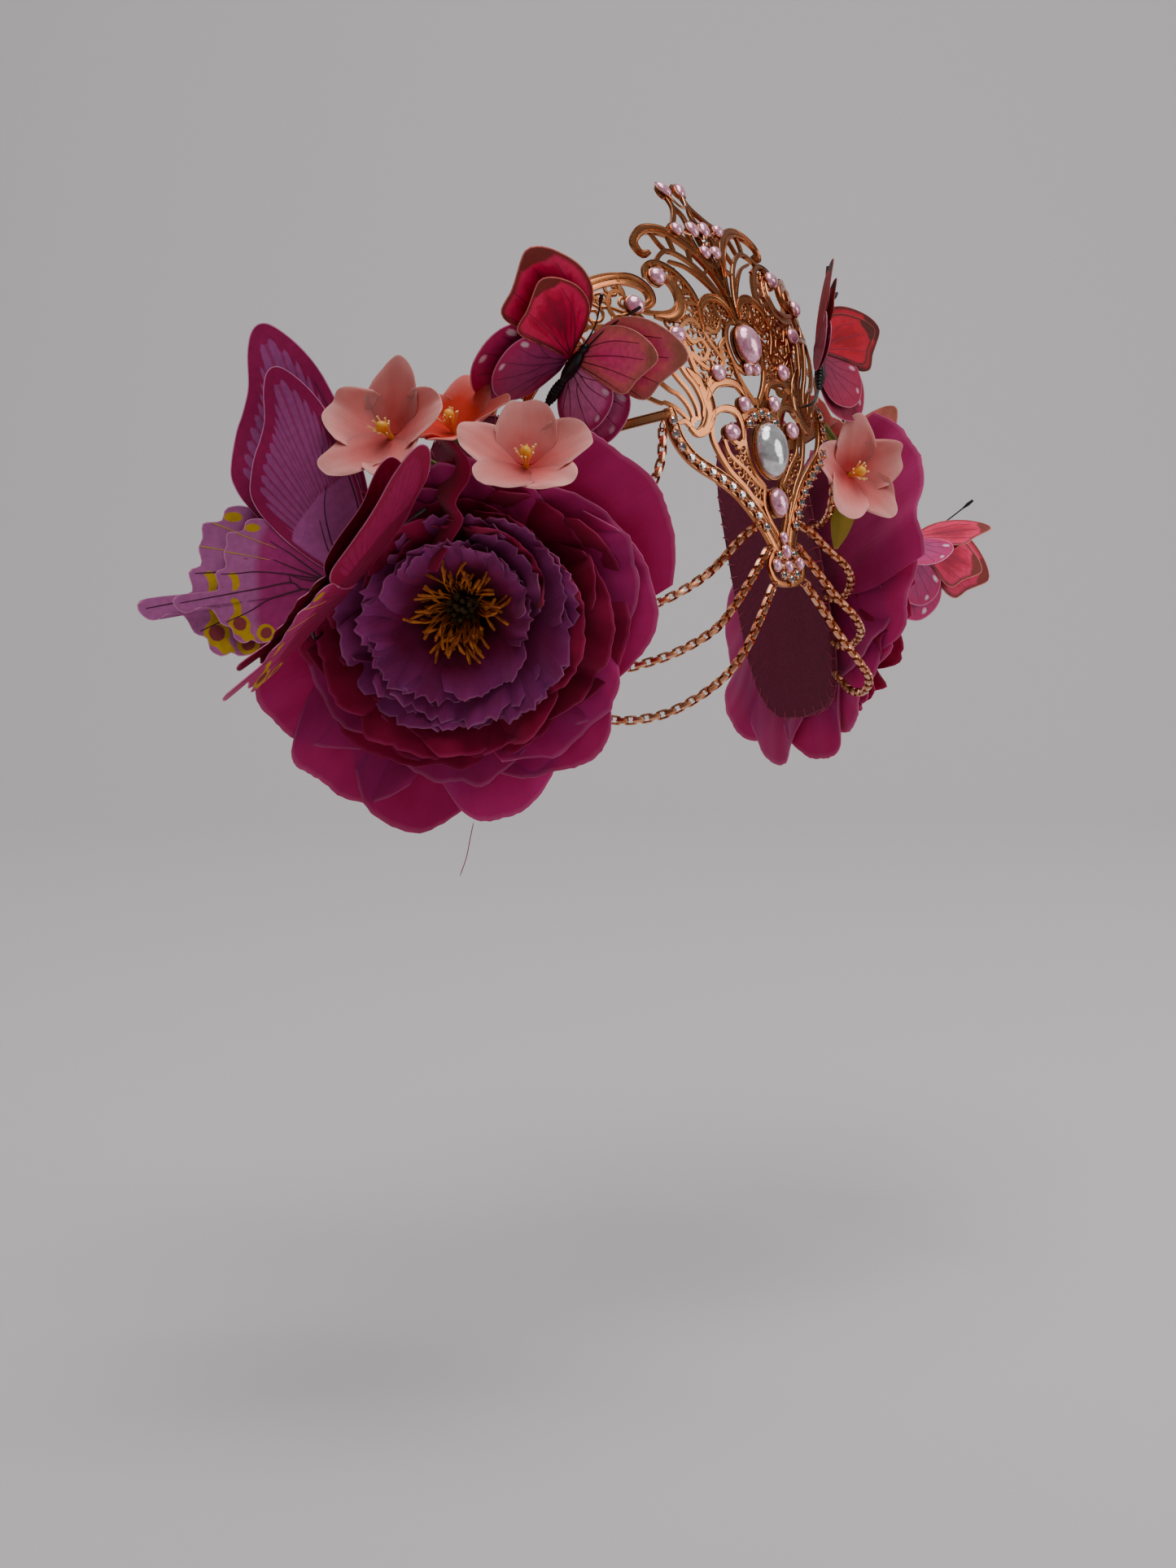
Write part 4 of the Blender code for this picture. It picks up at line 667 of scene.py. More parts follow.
# Felt pads. Stiffened wine-red felt, 2 mm thick, that carries the flowers on the plate's arms. Its edge
# is sewn over by hand in blanket stitch of crimson cotton.
# Felt scatters light evenly, with fibres below 1 mm and a soft nap.
felt, shader = new_look("wine_felt", Roughness=0.95, Sheen_Weight=0.1, Sheen_Roughness=0.6)
_, fibres = cloudy(felt, shader, 1400, ((0.3, "#5c0a2c"), (0.7, "#801440")), Detail=5)
nap = add_node(felt, "ShaderNodeBump", {"Strength": 0.5, "Distance": 0.0004}, {"Height": fibres})
feed(felt, shader, "Normal", nap.outputs["Normal"])
# Cotton thread, with only a slight sheen.
crimson_thread, _ = new_look("crimson_cotton_thread", Base_Color=linear("#a52a4c"), Roughness=0.7,
                             Sheen_Weight=0.3)
PAD_LOW, PAD_HIGH = 0.95, 2.95
STITCH_REACH, STITCH_EVERY, STITCH_RADIUS = 3.2, 5.5, 0.28
THREAD_HINT = np.array((0.3, 0.2, 0.93))


def thread(points, radius, sides=6):
    """A round thread through the points, thinned at its two ends."""
    points = np.asarray(points, float)
    ahead = np.gradient(points, axis=0)
    ahead /= np.maximum(np.linalg.norm(ahead, axis=1, keepdims=True), 1e-9)
    hint = THREAD_HINT if abs(ahead[0] @ THREAD_HINT) < 0.9 else np.array((1.0, 0, 0))
    rings = []
    for i, (point, forward) in enumerate(zip(points, ahead)):
        hint = hint - forward * (hint @ forward)
        hint /= np.linalg.norm(hint)
        size = radius[i] if np.ndim(radius) else radius * (0.6 if i in (0, len(points) - 1) else 1)
        other = np.cross(forward, hint)
        for j in range(sides):
            a = math.tau * j / sides
            rings.append(point + (hint * math.cos(a) + other * math.sin(a)) * size)
    return np.array(rings), tube_faces(len(points), sides)


for side, word in ((1, "left"), (-1, "right")):
    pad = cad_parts["flower_pad_" + word]
    pad.data.materials.clear()
    pad.data.materials.append(felt)
    outline = []
    for a in np.linspace(0, math.tau, 240, endpoint=False):
        x = math.copysign(abs(math.cos(a)) ** PAD_CORNER, math.cos(a)) * PAD_HALF[0]
        y = math.copysign(abs(math.sin(a)) ** PAD_CORNER, math.sin(a)) * PAD_HALF[1]
        outline.append((PAD_CENTRE[0] + x, PAD_CENTRE[1] + y))
    edge = smooth_line(outline + outline[:1], STITCH_EVERY)
    parts = []
    for i, (s, t) in enumerate(edge[:-1]):
        toward = np.array(PAD_CENTRE) - (s, t)
        toward /= np.linalg.norm(toward)
        inner_s, inner_t = (s, t) + toward * STITCH_REACH
        loop_s = [inner_s, s - toward[0] * 0.3, s - toward[0] * 0.3, inner_s]
        loop_t = [inner_t, t - toward[1] * 0.3, t - toward[1] * 0.3, inner_t]
        loop = on_crown(np.array(loop_s) * side, np.array(loop_t),
                        np.array([PAD_HIGH + 0.15, PAD_HIGH + 0.15, PAD_LOW - 0.15, PAD_LOW - 0.15]))
        parts.append(thread(loop, STITCH_RADIUS))
        next_s, next_t = edge[i + 1]
        run = on_crown(np.array([s, (s + next_s) / 2, next_s]) * side,
                       np.array([t, (t + next_t) / 2, next_t]), np.array([PAD_HIGH + 0.2] * 3))
        parts.append(thread(run, STITCH_RADIUS))
    add_piece(f"pad_stitches_{word}", *join_parts(parts), [crimson_thread], "felt", smooth=60)

# Peonies. Large artificial peonies of dyed silk, heat-set so that the petals cup, with frayed cut edges:
# magenta outer petals, wavy crimson ones inside them, ragged lilac ones round a tuft of orange stamens.
# The petals take this share of the strip of cloth that they are cut from.
PETAL_FILM, CLOTH_USED = 0.35, 0.72


def shell(top, bottom):
    """Points and faces of a thin closed sheet, from the grids of points on its two sides."""
    rows, columns = top.shape[:2]
    points = np.concatenate([top.reshape(-1, 3), bottom.reshape(-1, 3)])
    half = rows * columns
    faces = []
    for i in range(rows - 1):
        for j in range(columns - 1):
            a = i * columns + j
            faces.append((a, a + 1, a + columns + 1, a + columns))
            faces.append((half + a + columns, half + a + columns + 1, half + a + 1, half + a))
    border = [*range(columns), *(i * columns + columns - 1 for i in range(1, rows)),
              *(half - 2 - j for j in range(columns - 1)),
              *((rows - 2 - i) * columns for i in range(rows - 2))]
    for a, b in zip(border, border[1:] + border[:1]):
        faces.append((b, a, half + a, half + b))
    return points, faces


def behind(top, thick):
    """A grid's copy, a thickness behind it."""
    down, across = np.gradient(top, axis=0), np.gradient(top, axis=1)
    normal = np.cross(across, down)
    return top - normal / np.maximum(np.linalg.norm(normal, axis=-1, keepdims=True), 1e-9) * thick


def sheet_area(top):
    """Area of a grid's one side, in square metres."""
    down, across = top[1:, :-1] - top[:-1, :-1], top[:-1, 1:] - top[:-1, :-1]
    return float(np.linalg.norm(np.cross(down, across), axis=-1).sum()) * MM ** 2


def flower_axes(axis):
    """Right, up and forward directions of a flower that faces along axis."""
    forward = np.array(axis, float) / np.linalg.norm(axis)
    right = -np.cross(forward, (0, 0, 1))
    right /= np.linalg.norm(right)
    return right, np.cross(forward, right), forward


def petal(foot, axis, angle, reach, half, floor, rise, curve, seed, cup=4.0, ruffle=1.6, ragged=0.0,
          lip=0.0, base=0.3, full=0.72, root=3.0, corner=0.24, slow=True, rows=22, columns=25):
    """One petal: a grid from its root to its rim, with values for its shader: across, along and its tone."""
    chance = np.random.default_rng(seed)
    right, up, forward = flower_axes(axis)
    turn = math.radians(angle)
    ahead = right * math.cos(turn) + up * math.sin(turn)
    side = up * math.cos(turn) - right * math.sin(turn)
    v, u = np.meshgrid(np.linspace(0, 1, rows), np.linspace(-1, 1, columns), indexing="ij")
    beats = (0.9, 1.6, 2.3) if slow else (1.3, 2.2, 3.4, 4.6)
    wave = sum(np.sin(k * math.pi * u + chance.uniform(0, math.tau)) / k ** 0.8 for k in beats)
    teeth = sum(np.sin(k * math.pi * u + chance.uniform(0, math.tau)) for k in (5, 9, 13, 17)) / 4
    end = 1 - corner * np.abs(u) ** 3.0 + 0.02 * wave * v + ragged / reach * teeth * v
    wide = base + (1 - base) * np.sin(math.pi / 2 * np.minimum(v / full, 1)) ** 0.8
    along = root + (reach - root) * v * end
    across = half * u * wide * (1 + ragged / reach * 0.5 * teeth * v)
    sweep = 1 - np.minimum(np.abs(across) / max(reach, 1), 0.95) ** 2 * 0.25
    height = floor + rise * (along / reach) ** curve + cup * u ** 2 * v
    height = height + ruffle * v ** 2.0 * wave * (0.45 + 0.55 * np.abs(u))
    height = height + 0.12 * ruffle * np.sin(u * 13 + 3 * v + chance.uniform(0, 6)) * v
    height = height - lip * np.maximum(v - 0.8, 0) ** 2 * 25
    grid = (foot + ahead * (along * sweep)[..., None] + side * across[..., None]
            + forward * height[..., None])
    return grid, (u * 0.5 + 0.5, v, np.full_like(u, chance.random()))


def silk(name, root, middle, rim, streak, edge):
    """Dyed silk with fine streaks and a pale frayed edge, darker at the root: partly dye, partly painted
    shade.
    """
    look, shader = new_look(name, Roughness=0.8, Sheen_Weight=0.12, Sheen_Roughness=0.5,
                            Specular_IOR_Level=0.15, Subsurface_Weight=0.3, Subsurface_Scale=0.002)
    across, along, tone = (add_node(look, "ShaderNodeAttribute", {"attribute_name": key}).outputs["Fac"]
                           for key in ("across", "along", "tone"))
    place = add_node(look, "ShaderNodeCombineXYZ", {}, {"X": across, "Y": along, "Z": tone})
    spread = add_node(look, "ShaderNodeVectorMath", {"operation": "MULTIPLY", 1: (60, 3, 20)},
                      {0: place.outputs["Vector"]})
    veins = add_node(look, "ShaderNodeTexNoise", {"Scale": 1.0, "Detail": 3, "Roughness": 0.6},
                     {"Vector": spread.outputs["Vector"]})
    cloud = add_node(look, "ShaderNodeTexNoise", {"Scale": 70, "Detail": 3},
                     {"Vector": add_node(look, "ShaderNodeTexCoord").outputs["Object"]})
    shift = add_node(look, "ShaderNodeMapRange",
                     {"From Min": 0.3, "From Max": 0.7, "To Min": -0.14, "To Max": 0.14},
                     {"Value": cloud.outputs["Fac"]})
    reach = add_node(look, "ShaderNodeMath", {"operation": "ADD"}, {0: along, 1: shift.outputs["Result"]})
    # From root to rim: the dye's shading, and painted shade at the root.
    body = add_node(look, "ShaderNodeValToRGB", {"stops": ((0.05, root), (0.5, middle), (0.95, rim))},
                    {"Fac": reach.outputs["Value"]})
    depth = add_node(look, "ShaderNodeMapRange", {"From Min": 0.45, "From Max": 0.75, "To Max": 0.22},
                     {"Value": veins.outputs["Fac"]})
    veined = add_node(look, "ShaderNodeMix", {"data_type": "RGBA", 7: linear(streak)},
                      {0: depth.outputs["Result"], 6: body.outputs["Color"]})
    shade = add_node(look, "ShaderNodeMapRange", {"To Min": 0.82, "To Max": 1.12}, {"Value": tone})
    toned = add_node(look, "ShaderNodeHueSaturation", {},
                     {"Color": veined.outputs[2], "Value": shade.outputs["Result"]})
    fray = add_node(look, "ShaderNodeMapRange", {"From Min": 0.97, "From Max": 0.995, "To Max": 0.4},
                    {"Value": along})
    edged = add_node(look, "ShaderNodeMix", {"data_type": "RGBA", 7: linear(edge)},
                     {0: fray.outputs["Result"], 6: toned.outputs["Color"]})
    feed(look, shader, "Base Color", edged.outputs[2])
    weave = add_node(look, "ShaderNodeBump", {"Strength": 0.3, "Distance": 0.0003},
                     {"Height": veins.outputs["Fac"]})
    feed(look, shader, "Normal", weave.outputs["Normal"])
    return look


def add_sheets(name, petals, look, slot, replaces):
    parts, values, area = [], [[], [], []], 0.0
    for grid, marks in petals:
        parts.append(shell(grid, behind(grid, PETAL_FILM)))
        area += sheet_area(grid)
        for kept, mark in zip(values, marks):
            kept.extend([*mark.ravel(), *mark.ravel()])
    piece = add_piece(name, *join_parts(parts), [look], slot, replaces, smooth=80)
    for key, kept in zip(("across", "along", "tone"), values):
        piece.data.attributes.new(key, "FLOAT", "POINT").data.foreach_set("value", kept)
    return piece


# Each silk's first colour, at the root, is darkened with painted shade as well as dye.
magenta_silk = silk("magenta_silk_petals", "#5e0028", "#a8065a", "#b92474", "#bd2f78", "#d27aa8")
crimson_silk = silk("crimson_silk_petals", "#300008", "#68001e", "#92023e", "#7c0836", "#bc3a78")
lilac_silk = silk("lilac_silk_petals", "#38020f", "#7a0a44", "#98307c", "#520828", "#b873a2")
# Dyed stamen thread, rust in some places and orange in others.
stamen_silk, shader = new_look("orange_stamen_thread", Base_Color=linear("#c8641a"), Roughness=0.7)
cloudy(stamen_silk, shader, 260, ((0.35, "#8a3a0c"), (0.65, "#e0851f")), Detail=2)
# Olive flock, quite matt.
dark_pistil, _ = new_look("olive_flocked_centre", Base_Color=linear("#4a3614"), Roughness=0.9)
PEONIES = (
    # side, foot, axis
    ("right", (-99.5, -34, -53.7), (-0.84, -0.53, -0.10)),
    ("left", (95, -30.5, -50), (0.91, -0.40, -0.10)),
)
OUTER_PETALS = (
    # angle round the flower, reach, half width
    (33, 80, 33), (62, 50, 24), (3, 68, 33), (-28, 58, 28), (-54, 69, 28), (-79, 75, 26), (-108, 82, 28),
    (-129, 86, 24), (-150, 80, 28), (176, 62, 33), (132, 46, 28), (97, 44, 28),
)
SECOND_PETALS = ((20, 64, 30), (80, 54, 26), (106, 52, 24), (150, 50, 26), (205, 60, 30), (262, 62, 30),
                 (318, 62, 30))
WHORLS = (
    # whorl, look, slot, petals (count, reach, reach at the top), root, floors, rises, curve, ruffle, ragged
    ("middle", crimson_silk, "crimson_silk", ((7, 61, 36), (6, 54, 34), (6, 48, 32)), 6, (1.6, 3.0, 4.4),
     (16, 19, 22), 1.3, 4.2, 0.8),
    ("inner", lilac_silk, "lilac_silk", ((7, 44, 32), (8, 38, 29), (7, 31, 25)), 9, (5.0, 5.6, 6.2),
     (20, 21, 20), 1.15, 3.4, 2.6),
)
FOLDED_EDGE = (
    # along the flower's right, up and forward: the bright edge of a crimson petal that is folded on itself
    (-7, 15, 25), (-1, 26, 29), (3.5, 34, 30), (1, 40, 29), (5.5, 48, 28), (5, 54, 25), (-0.5, 60, 21),
)
STAMENS, PISTILS = 110, 32
for word, foot, axis in PEONIES:
    foot = np.array(foot)
    right, up, forward = flower_axes(axis)
    petals = []
    for i, (angle, reach, half) in enumerate(OUTER_PETALS):
        angle = angle if word == "right" else 180 - angle
        petals.append(petal(foot, axis, angle, reach, half, 1.2 * (i % 3), 12, 1.05, 30 + i, cup=3.5,
                            ruffle=2.5, lip=2.0 if i % 2 else -1.0, ragged=0.4, corner=0.3 if i else 0.1,
                            rows=30, columns=33))
    for i, (angle, reach, half) in enumerate(SECOND_PETALS):
        angle = angle if word == "right" else 180 - angle
        petals.append(petal(foot, axis, angle, reach, half, 4.5, 12, 1.1, 60 + i, cup=5, ruffle=3.2,
                            ragged=0.6, slow=False))
    add_sheets(f"peony_{word}_outer_petals", petals, magenta_silk, "magenta_silk", [f"peony_{word}_outer"])
    for layer, look, slot, rounds, root, floors, rises, curve, ruffle, ragged in WHORLS:
        petals = []
        for k, (count, reach, top) in enumerate(rounds):
            for i in range(count):
                angle = 360 * (i + 0.5 * k) / count + 19 * math.sin(5 * i + 2 * k)
                here = reach - (reach - top) * max(0, math.sin(math.radians(angle)))
                here *= 0.97 + 0.13 * math.sin(7 * i + 3 * k)
                petals.append(petal(foot, axis, angle, here, here * 0.56, floors[k] + 0.5 * (i % 2),
                                    rises[k], curve, 100 * k + i + len(layer), cup=4, ruffle=ruffle,
                                    ragged=ragged, root=root, corner=0.26, slow=False, rows=22, columns=27))
        if layer == "middle":
            rim = smooth_line(FOLDED_EDGE, 1.6) * (1 if word == "right" else -1, 1, 1)
            v, u = np.meshgrid(np.linspace(1, 0, 14), np.linspace(0, 1, len(rim)), indexing="ij")
            away = (1 - v)[..., None]
            local = rim[None] + away * np.array((-10.0 if word == "right" else 10.0, 1.0, -14.0)) + (
                away * (1 - away) * np.array((0.0, 0.0, 9.0)))
            local[..., 2] += 1.2 * np.sin(u * 15) * v
            grid = foot + local[..., :1] * right + local[..., 1:2] * up + local[..., 2:] * forward
            petals.append((grid, (u, 0.45 + 0.55 * v, np.full_like(u, 0.8))))
        add_sheets(f"peony_{word}_{layer}_petals", petals, look, slot, [f"peony_{word}_{layer}"])
    chance = random.Random(5)
    parts = []
    for _ in range(STAMENS):
        a, twist = chance.uniform(0, math.tau), chance.uniform(-0.7, 0.7)
        start, end = chance.uniform(3.5, 6.5), chance.uniform(10, 21)
        top = chance.uniform(8, 18)
        line = []
        for share in (0, 0.3, 0.6, 0.85, 1.0):
            radius = start + (end - start) * share ** 1.2
            height = 5 + top * math.sin(share * 1.75) + chance.uniform(-0.4, 0.4)
            bend = a + twist * share
            line.append(foot + (right * math.cos(bend) + up * math.sin(bend)) * radius + forward * height)
        parts.append(thread(line, (0.3, 0.26, 0.26, 0.7, 0.5), 5))
    for _ in range(PISTILS):
        a, lean, tall = chance.uniform(0, math.tau), chance.uniform(0, 6.5), chance.uniform(11, 16)
        spoke = right * math.cos(a) + up * math.sin(a)
        line = [foot + forward * 4, foot + forward * 10 + spoke * lean * 0.7,
                foot + forward * tall + spoke * lean]
        parts.append(thread(line, (1.3, 1.3, 0.9), 6))
    piece = add_piece(f"peony_{word}_stamen_tuft", *join_parts(parts), [stamen_silk, dark_pistil],
                      "stamens", [f"peony_{word}_stamens"], smooth=60)
    paint(piece, parts, [0] * STAMENS + [1] * PISTILS)

# Blossoms. Small five-petalled silk flowers in salmon, with a yellow pistil and pale stamens, on stems that
# are glued into the pads. The second from the front is painted deeper orange: painted glow of light through
# its petals.
salmon_silk = silk("salmon_silk_petals", "#bb383a", "#de7672", "#e49892", "#c65450", "#ecbeb6")
# Deeper orange for the second blossom: painted glow of light shining through its petals.
glow_orange_silk = silk("orange_painted_glow_silk_petals", "#b81c08", "#cf3220", "#dd7a72", "#ba2614", "#efb6aa")
# Waxed pistils have a soft gloss; the thread and the stems' paper are matt.
pistil_wax, _ = new_look("yellow_pistil_wax", Base_Color=linear("#f0a52c"), Roughness=0.5)
pale_thread, _ = new_look("pale_stamen_thread", Base_Color=linear("#f4cf8a"), Roughness=0.6)
stem_paper, _ = new_look("green_stem_paper", Base_Color=linear("#6f7a33"), Roughness=0.8)
BLOSSOMS = (
    # node, foot, axis, reach, root s, t and off, first petal's angle, orange
    ("blossom_right_back", (-136.8, -32.0, 4.9), (-0.83, -0.15, 0.53), 25.0, (-134, 12, 2.95), 18, False),
    ("blossom_right_middle", (-113.2, -39.8, 6.0), (-0.48, -0.08, 0.87), 23.0, (-114, 18, 2.95), 18, True),
    ("blossom_right_front", (-117.8, -76.7, -5.2), (-0.50, -0.42, 0.76), 24.0, (-106, 2, 2.95), 18, False),
    ("blossom_left_front", (58.2, -86.4, -11.0), (-0.30, -0.92, 0.24), 21.0, (66, 12.8, 0.95), 18, False),
    ("blossom_left_back", (97.0, -36.0, 5.5), (0.60, -0.30, 0.74), 19.0, (114, 18, 2.95), 18, False),
)
PETALS_EACH, STAMENS_EACH = 5, 9
for number, (node, foot, axis, reach, root, first, orange) in enumerate(BLOSSOMS):
    foot = np.array(foot)
    right, up, forward = flower_axes(axis)
    petals = []
    for i in range(PETALS_EACH):
        petals.append(petal(foot, axis, first + 360 / PETALS_EACH * i, reach, reach * 0.44, 0.6 * (i % 2),
                            reach * 0.46, 1.2, 300 + 10 * number + i, cup=3.4, ruffle=0.9, lip=0.9,
                            base=0.16, full=0.68, root=1.2, corner=0.5, rows=22, columns=21))
    look = glow_orange_silk if orange else salmon_silk
    add_sheets(f"{node}_petals", petals, look, "peach_silk", [node])
    parts = [thread([foot - forward * 1, foot + forward * 5, foot + forward * 8.2, foot + forward * 9.8],
                    (1.0, 1.1, 2.1, 1.1), 10)]
    chance = random.Random(number)
    for i in range(STAMENS_EACH):
        a = math.tau * i / STAMENS_EACH + chance.uniform(-0.2, 0.2)
        spoke = right * math.cos(a) + up * math.sin(a)
        tall, lean = chance.uniform(7, 10), chance.uniform(2.5, 4.5)
        parts.append(thread([foot, foot + forward * tall * 0.6 + spoke * lean * 0.5,
                             foot + forward * tall + spoke * lean], (0.22, 0.22, 0.4), 5))
    point, _, _, out = crown_frame(root[0], root[1])
    start = point + out * root[2]
    parts.append(thread([start, start * 0.6 + foot * 0.4 + out * 1.5, foot - forward * 2,
                         foot + forward * 0.5], (1.1, 1.1, 1.6, 2.4), 8))
    piece = add_piece(f"{node}_pistil_and_stem", *join_parts(parts), [pistil_wax, pale_thread, stem_paper],
                      "peach_silk", smooth=60)
    paint(piece, parts, [0] + [1] * STAMENS_EACH + [2])

# Leaf. One narrow leaf of yellow-green silk, cut plain and creased along its rib. It hangs from the band on
# the left, beside the front blossom, and its root is stitched under the band.
LEAF = (
    # x, y, z, half width
    (70.1, -64.1, 6.4, 0.9), (72.0, -68.5, 0, 1.2), (72.5, -73, -8, 3.0), (72.3, -74.5, -17, 4.7),
    (71.8, -74, -26, 4.8), (71.0, -73, -34, 3.2), (70.2, -72, -40, 0.6),
)
leaf_silk = silk("leaf_silk", "#7d7a1e", "#9a9430", "#b3a84a", "#7f7a22", "#c9bd6a")
rib = smooth_line(LEAF, 1.2)
side = np.array((0.42, -0.86, 0.0)) / np.linalg.norm((0.42, -0.86, 0.0))
front = np.cross((0, 0, 1), side)
u = np.linspace(-1, 1, 13)
grid = (rib[:, None, :3] + side * (u[None, :, None] * rib[:, None, 3:])
        + front * (np.abs(u)[None, :, None] * rib[:, None, 3:] * 0.45))
marks = np.meshgrid(u * 0.5 + 0.5, np.linspace(0, 1, len(rib)))
add_sheets("leaf_silk_blade", [(grid, (marks[0], marks[1], np.full_like(marks[0], 0.5)))], leaf_silk,
           "green_silk", ["leaf"])

# Butterflies. Printed film in two layers, the smaller one set over the larger, glued to moulded black bodies
# on wires. The swallowtail is mauve and magenta with yellow spots. The four small ones are crimson, dusky
# red and pink.
WING_FILM, INK, CAMBER = 0.3, 0.06, 1.5


def film(name, base, marks, margin):
    """Printed film: a base colour with marks over it, each where its own value is below nought."""
    look, shader = new_look(name, Roughness=0.5, Specular_IOR_Level=0.25)
    reach = add_node(look, "ShaderNodeAttribute", {"attribute_name": "reach"})
    colour = add_node(look, "ShaderNodeValToRGB", {"stops": base},
                      {"Fac": reach.outputs["Fac"]}).outputs["Color"]
    for key, code, soft in [*marks, ("rim", margin, 0.1)]:
        value = add_node(look, "ShaderNodeAttribute", {"attribute_name": key})
        share = add_node(look, "ShaderNodeMapRange", {"From Min": soft, "From Max": -soft},
                         {"Value": value.outputs["Fac"]})
        colour = add_node(look, "ShaderNodeMix", {"data_type": "RGBA", 7: linear(code)},
                          {0: share.outputs["Result"], 6: colour}).outputs[2]
    grain = add_node(look, "ShaderNodeTexNoise", {"Scale": 420, "Detail": 4},
                     {"Vector": add_node(look, "ShaderNodeTexCoord").outputs["Object"]})
    shade = add_node(look, "ShaderNodeMapRange",
                     {"From Min": 0.3, "From Max": 0.7, "To Min": 0.86, "To Max": 1.1},
                     {"Value": grain.outputs["Fac"]})
    toned = add_node(look, "ShaderNodeHueSaturation", {},
                     {"Color": colour, "Value": shade.outputs["Result"]})
    feed(look, shader, "Base Color", toned.outputs["Color"])
    return look


def spot(x, y, at_x, at_y, half_x, half_y, turn=0.0):
    """Signed distance, about, to an oval spot."""
    across, along = turned(x - at_x, y - at_y, -turn)
    return (np.hypot(across / half_x, along / half_y) - 1) * min(half_x, half_y)


def swallow_fore(x, y, reach, part, edge, root_away):
    """Long mauve stripes between magenta lines, and a plain mauve field at the root."""
    stripes = 42
    step = (part * stripes) % 1.0
    spacing = 190 * reach / stripes
    across = (np.abs(step - 0.5) - 0.37) * spacing
    outer = 4.4 + 2.6 * (2 * np.abs(step - 0.5)) ** 2 - edge
    inner = (0.56 - 0.26 * part) * 88 - root_away
    lead = (0.2 - part) * 100
    late = (part - 0.8) * 100
    stripe = np.maximum.reduce([across, outer, inner, lead, late])
    field = np.maximum.reduce([root_away - (0.57 - 0.26 * part) * 88, 1.8 - edge])
    return {"mark_a": stripe, "mark_b": field, "mark_c": np.ones_like(x)}


def swallow_hind(x, y, reach, part, edge, root_away):
    """Paler outer third, yellow crescents and ringed brown eye spots."""
    outer = (41 + 3 * np.sin(part * 9)) - root_away
    yellow = np.minimum.reduce([
        spot(x, y, 49.3, -9.8, 3.4, 1.8, -40),
        np.maximum(spot(x, y, 39.8, -32.2, 4.4, 2.6, 40), -spot(x, y, 41.2, -35.0, 4.2, 2.6, 40)),
        np.maximum(spot(x, y, 31.8, -39.9, 4.4, 2.6, 40), -spot(x, y, 33.2, -42.7, 4.2, 2.6, 40)),
        spot(x, y, 25.6, -43.9, 5.0, 4.4, 0), spot(x, y, 14.7, -39.1, 4.2, 3.8, 0),
        spot(x, y, 19.5, -45.5, 4.0, 2.2, 0)])
    brown = np.minimum.reduce([spot(x, y, 25.8, -43.6, 3.1, 2.8, 0), spot(x, y, 14.8, -39.0, 2.4, 2.6, 0),
                               spot(x, y, 42.5, -21.5, 1.0, 0.8, 0)])
    return {"mark_a": outer, "mark_b": yellow, "mark_c": brown}


def brush_fore(x, y, reach, part, edge, root_away):
    """A brown tip and margin, and inside it a scalloped brighter band."""
    step = (part * 14) % 1.0
    tip = np.hypot(x - 36, y - 38)
    brown = np.minimum(edge - 1.3, np.maximum(tip - 8.5 - 0.8 * np.sin(part * 60), -9))
    band = np.maximum(edge - (8.5 - 3.5 * (2 * np.abs(step - 0.5)) ** 2), (0.18 - part) * 60)
    cells = np.maximum(edge - 5.6 + 3 * (2 * np.abs(step - 0.5)) ** 2, (0.22 - part) * 60)
    return {"mark_a": band, "mark_b": cells, "mark_c": brown}


def brush_hind(x, y, reach, part, edge, root_away):
    """A rosy field with a darker border and white oval spots."""
    border = edge - 3.0
    white = np.minimum(spot(x, y, 23.5, 7.6, 2.1, 1.1, 20), spot(x, y, 27.3, -3.0, 0.9, 1.6, 0))
    return {"mark_a": border, "mark_b": white, "mark_c": np.ones_like(x)}


swallow_fore_film = film("mauve_striped_film", ((0.0, "#8f1a54"), (1.0, "#970f50")),
                         (("mark_a", "#a04684", 0.2), ("mark_b", "#b4569a", 0.5)), "#d98fb8")
swallow_hind_film = film("magenta_spotted_film", ((0.0, "#9c2a68"), (0.6, "#a92e74"), (1.0, "#a52a6c")),
                         (("mark_a", "#b4609a", 2.0), ("mark_b", "#c9a012", 0.15),
                          ("mark_c", "#8f3a40", 0.15)), "#d98fb8")
# Darker, redder copies of the swallowtail's two films, for its right wings: painted shade.
shaded_fore_film = film("striped_film_in_painted_shade", ((0.0, "#6c0220"), (1.0, "#96083c")),
                      (("mark_a", "#a01450", 0.2), ("mark_b", "#7c0a34", 0.5)), "#c4688e")
shaded_hind_film = film("spotted_film_in_painted_shade", ((0.0, "#7a0a34"), (0.6, "#8c1040"), (1.0, "#981446")),
                      (("mark_a", "#a82a62", 2.0), ("mark_b", "#b98c10", 0.15),
                       ("mark_c", "#7e2c32", 0.15)), "#c4688e")
crimson_fore_film = film("crimson_film", ((0.0, "#7e0228"), (0.5, "#a60238"), (1.0, "#c4063c")),
                         (("mark_a", "#d01046", 1.0), ("mark_b", "#de2058", 0.5),
                          ("mark_c", "#7c2620", 0.6)), "#d9756f")
crimson_hind_film = film("rosy_veined_film", ((0.0, "#a1407a"), (0.6, "#ae2f70"), (1.0, "#bf1a68")),
                         (("mark_a", "#bd1763", 1.2), ("mark_b", "#ecc8d8", 0.3)), "#dd86ad")
dusky_fore_film = film("dusky_red_film", ((0.0, "#6e0414"), (0.5, "#8e0418"), (1.0, "#a4061e")),
                       (("mark_a", "#a80822", 1.0), ("mark_b", "#ac0c28", 0.5), ("mark_c", "#4e1814", 0.6)),
                       "#8c3c38")
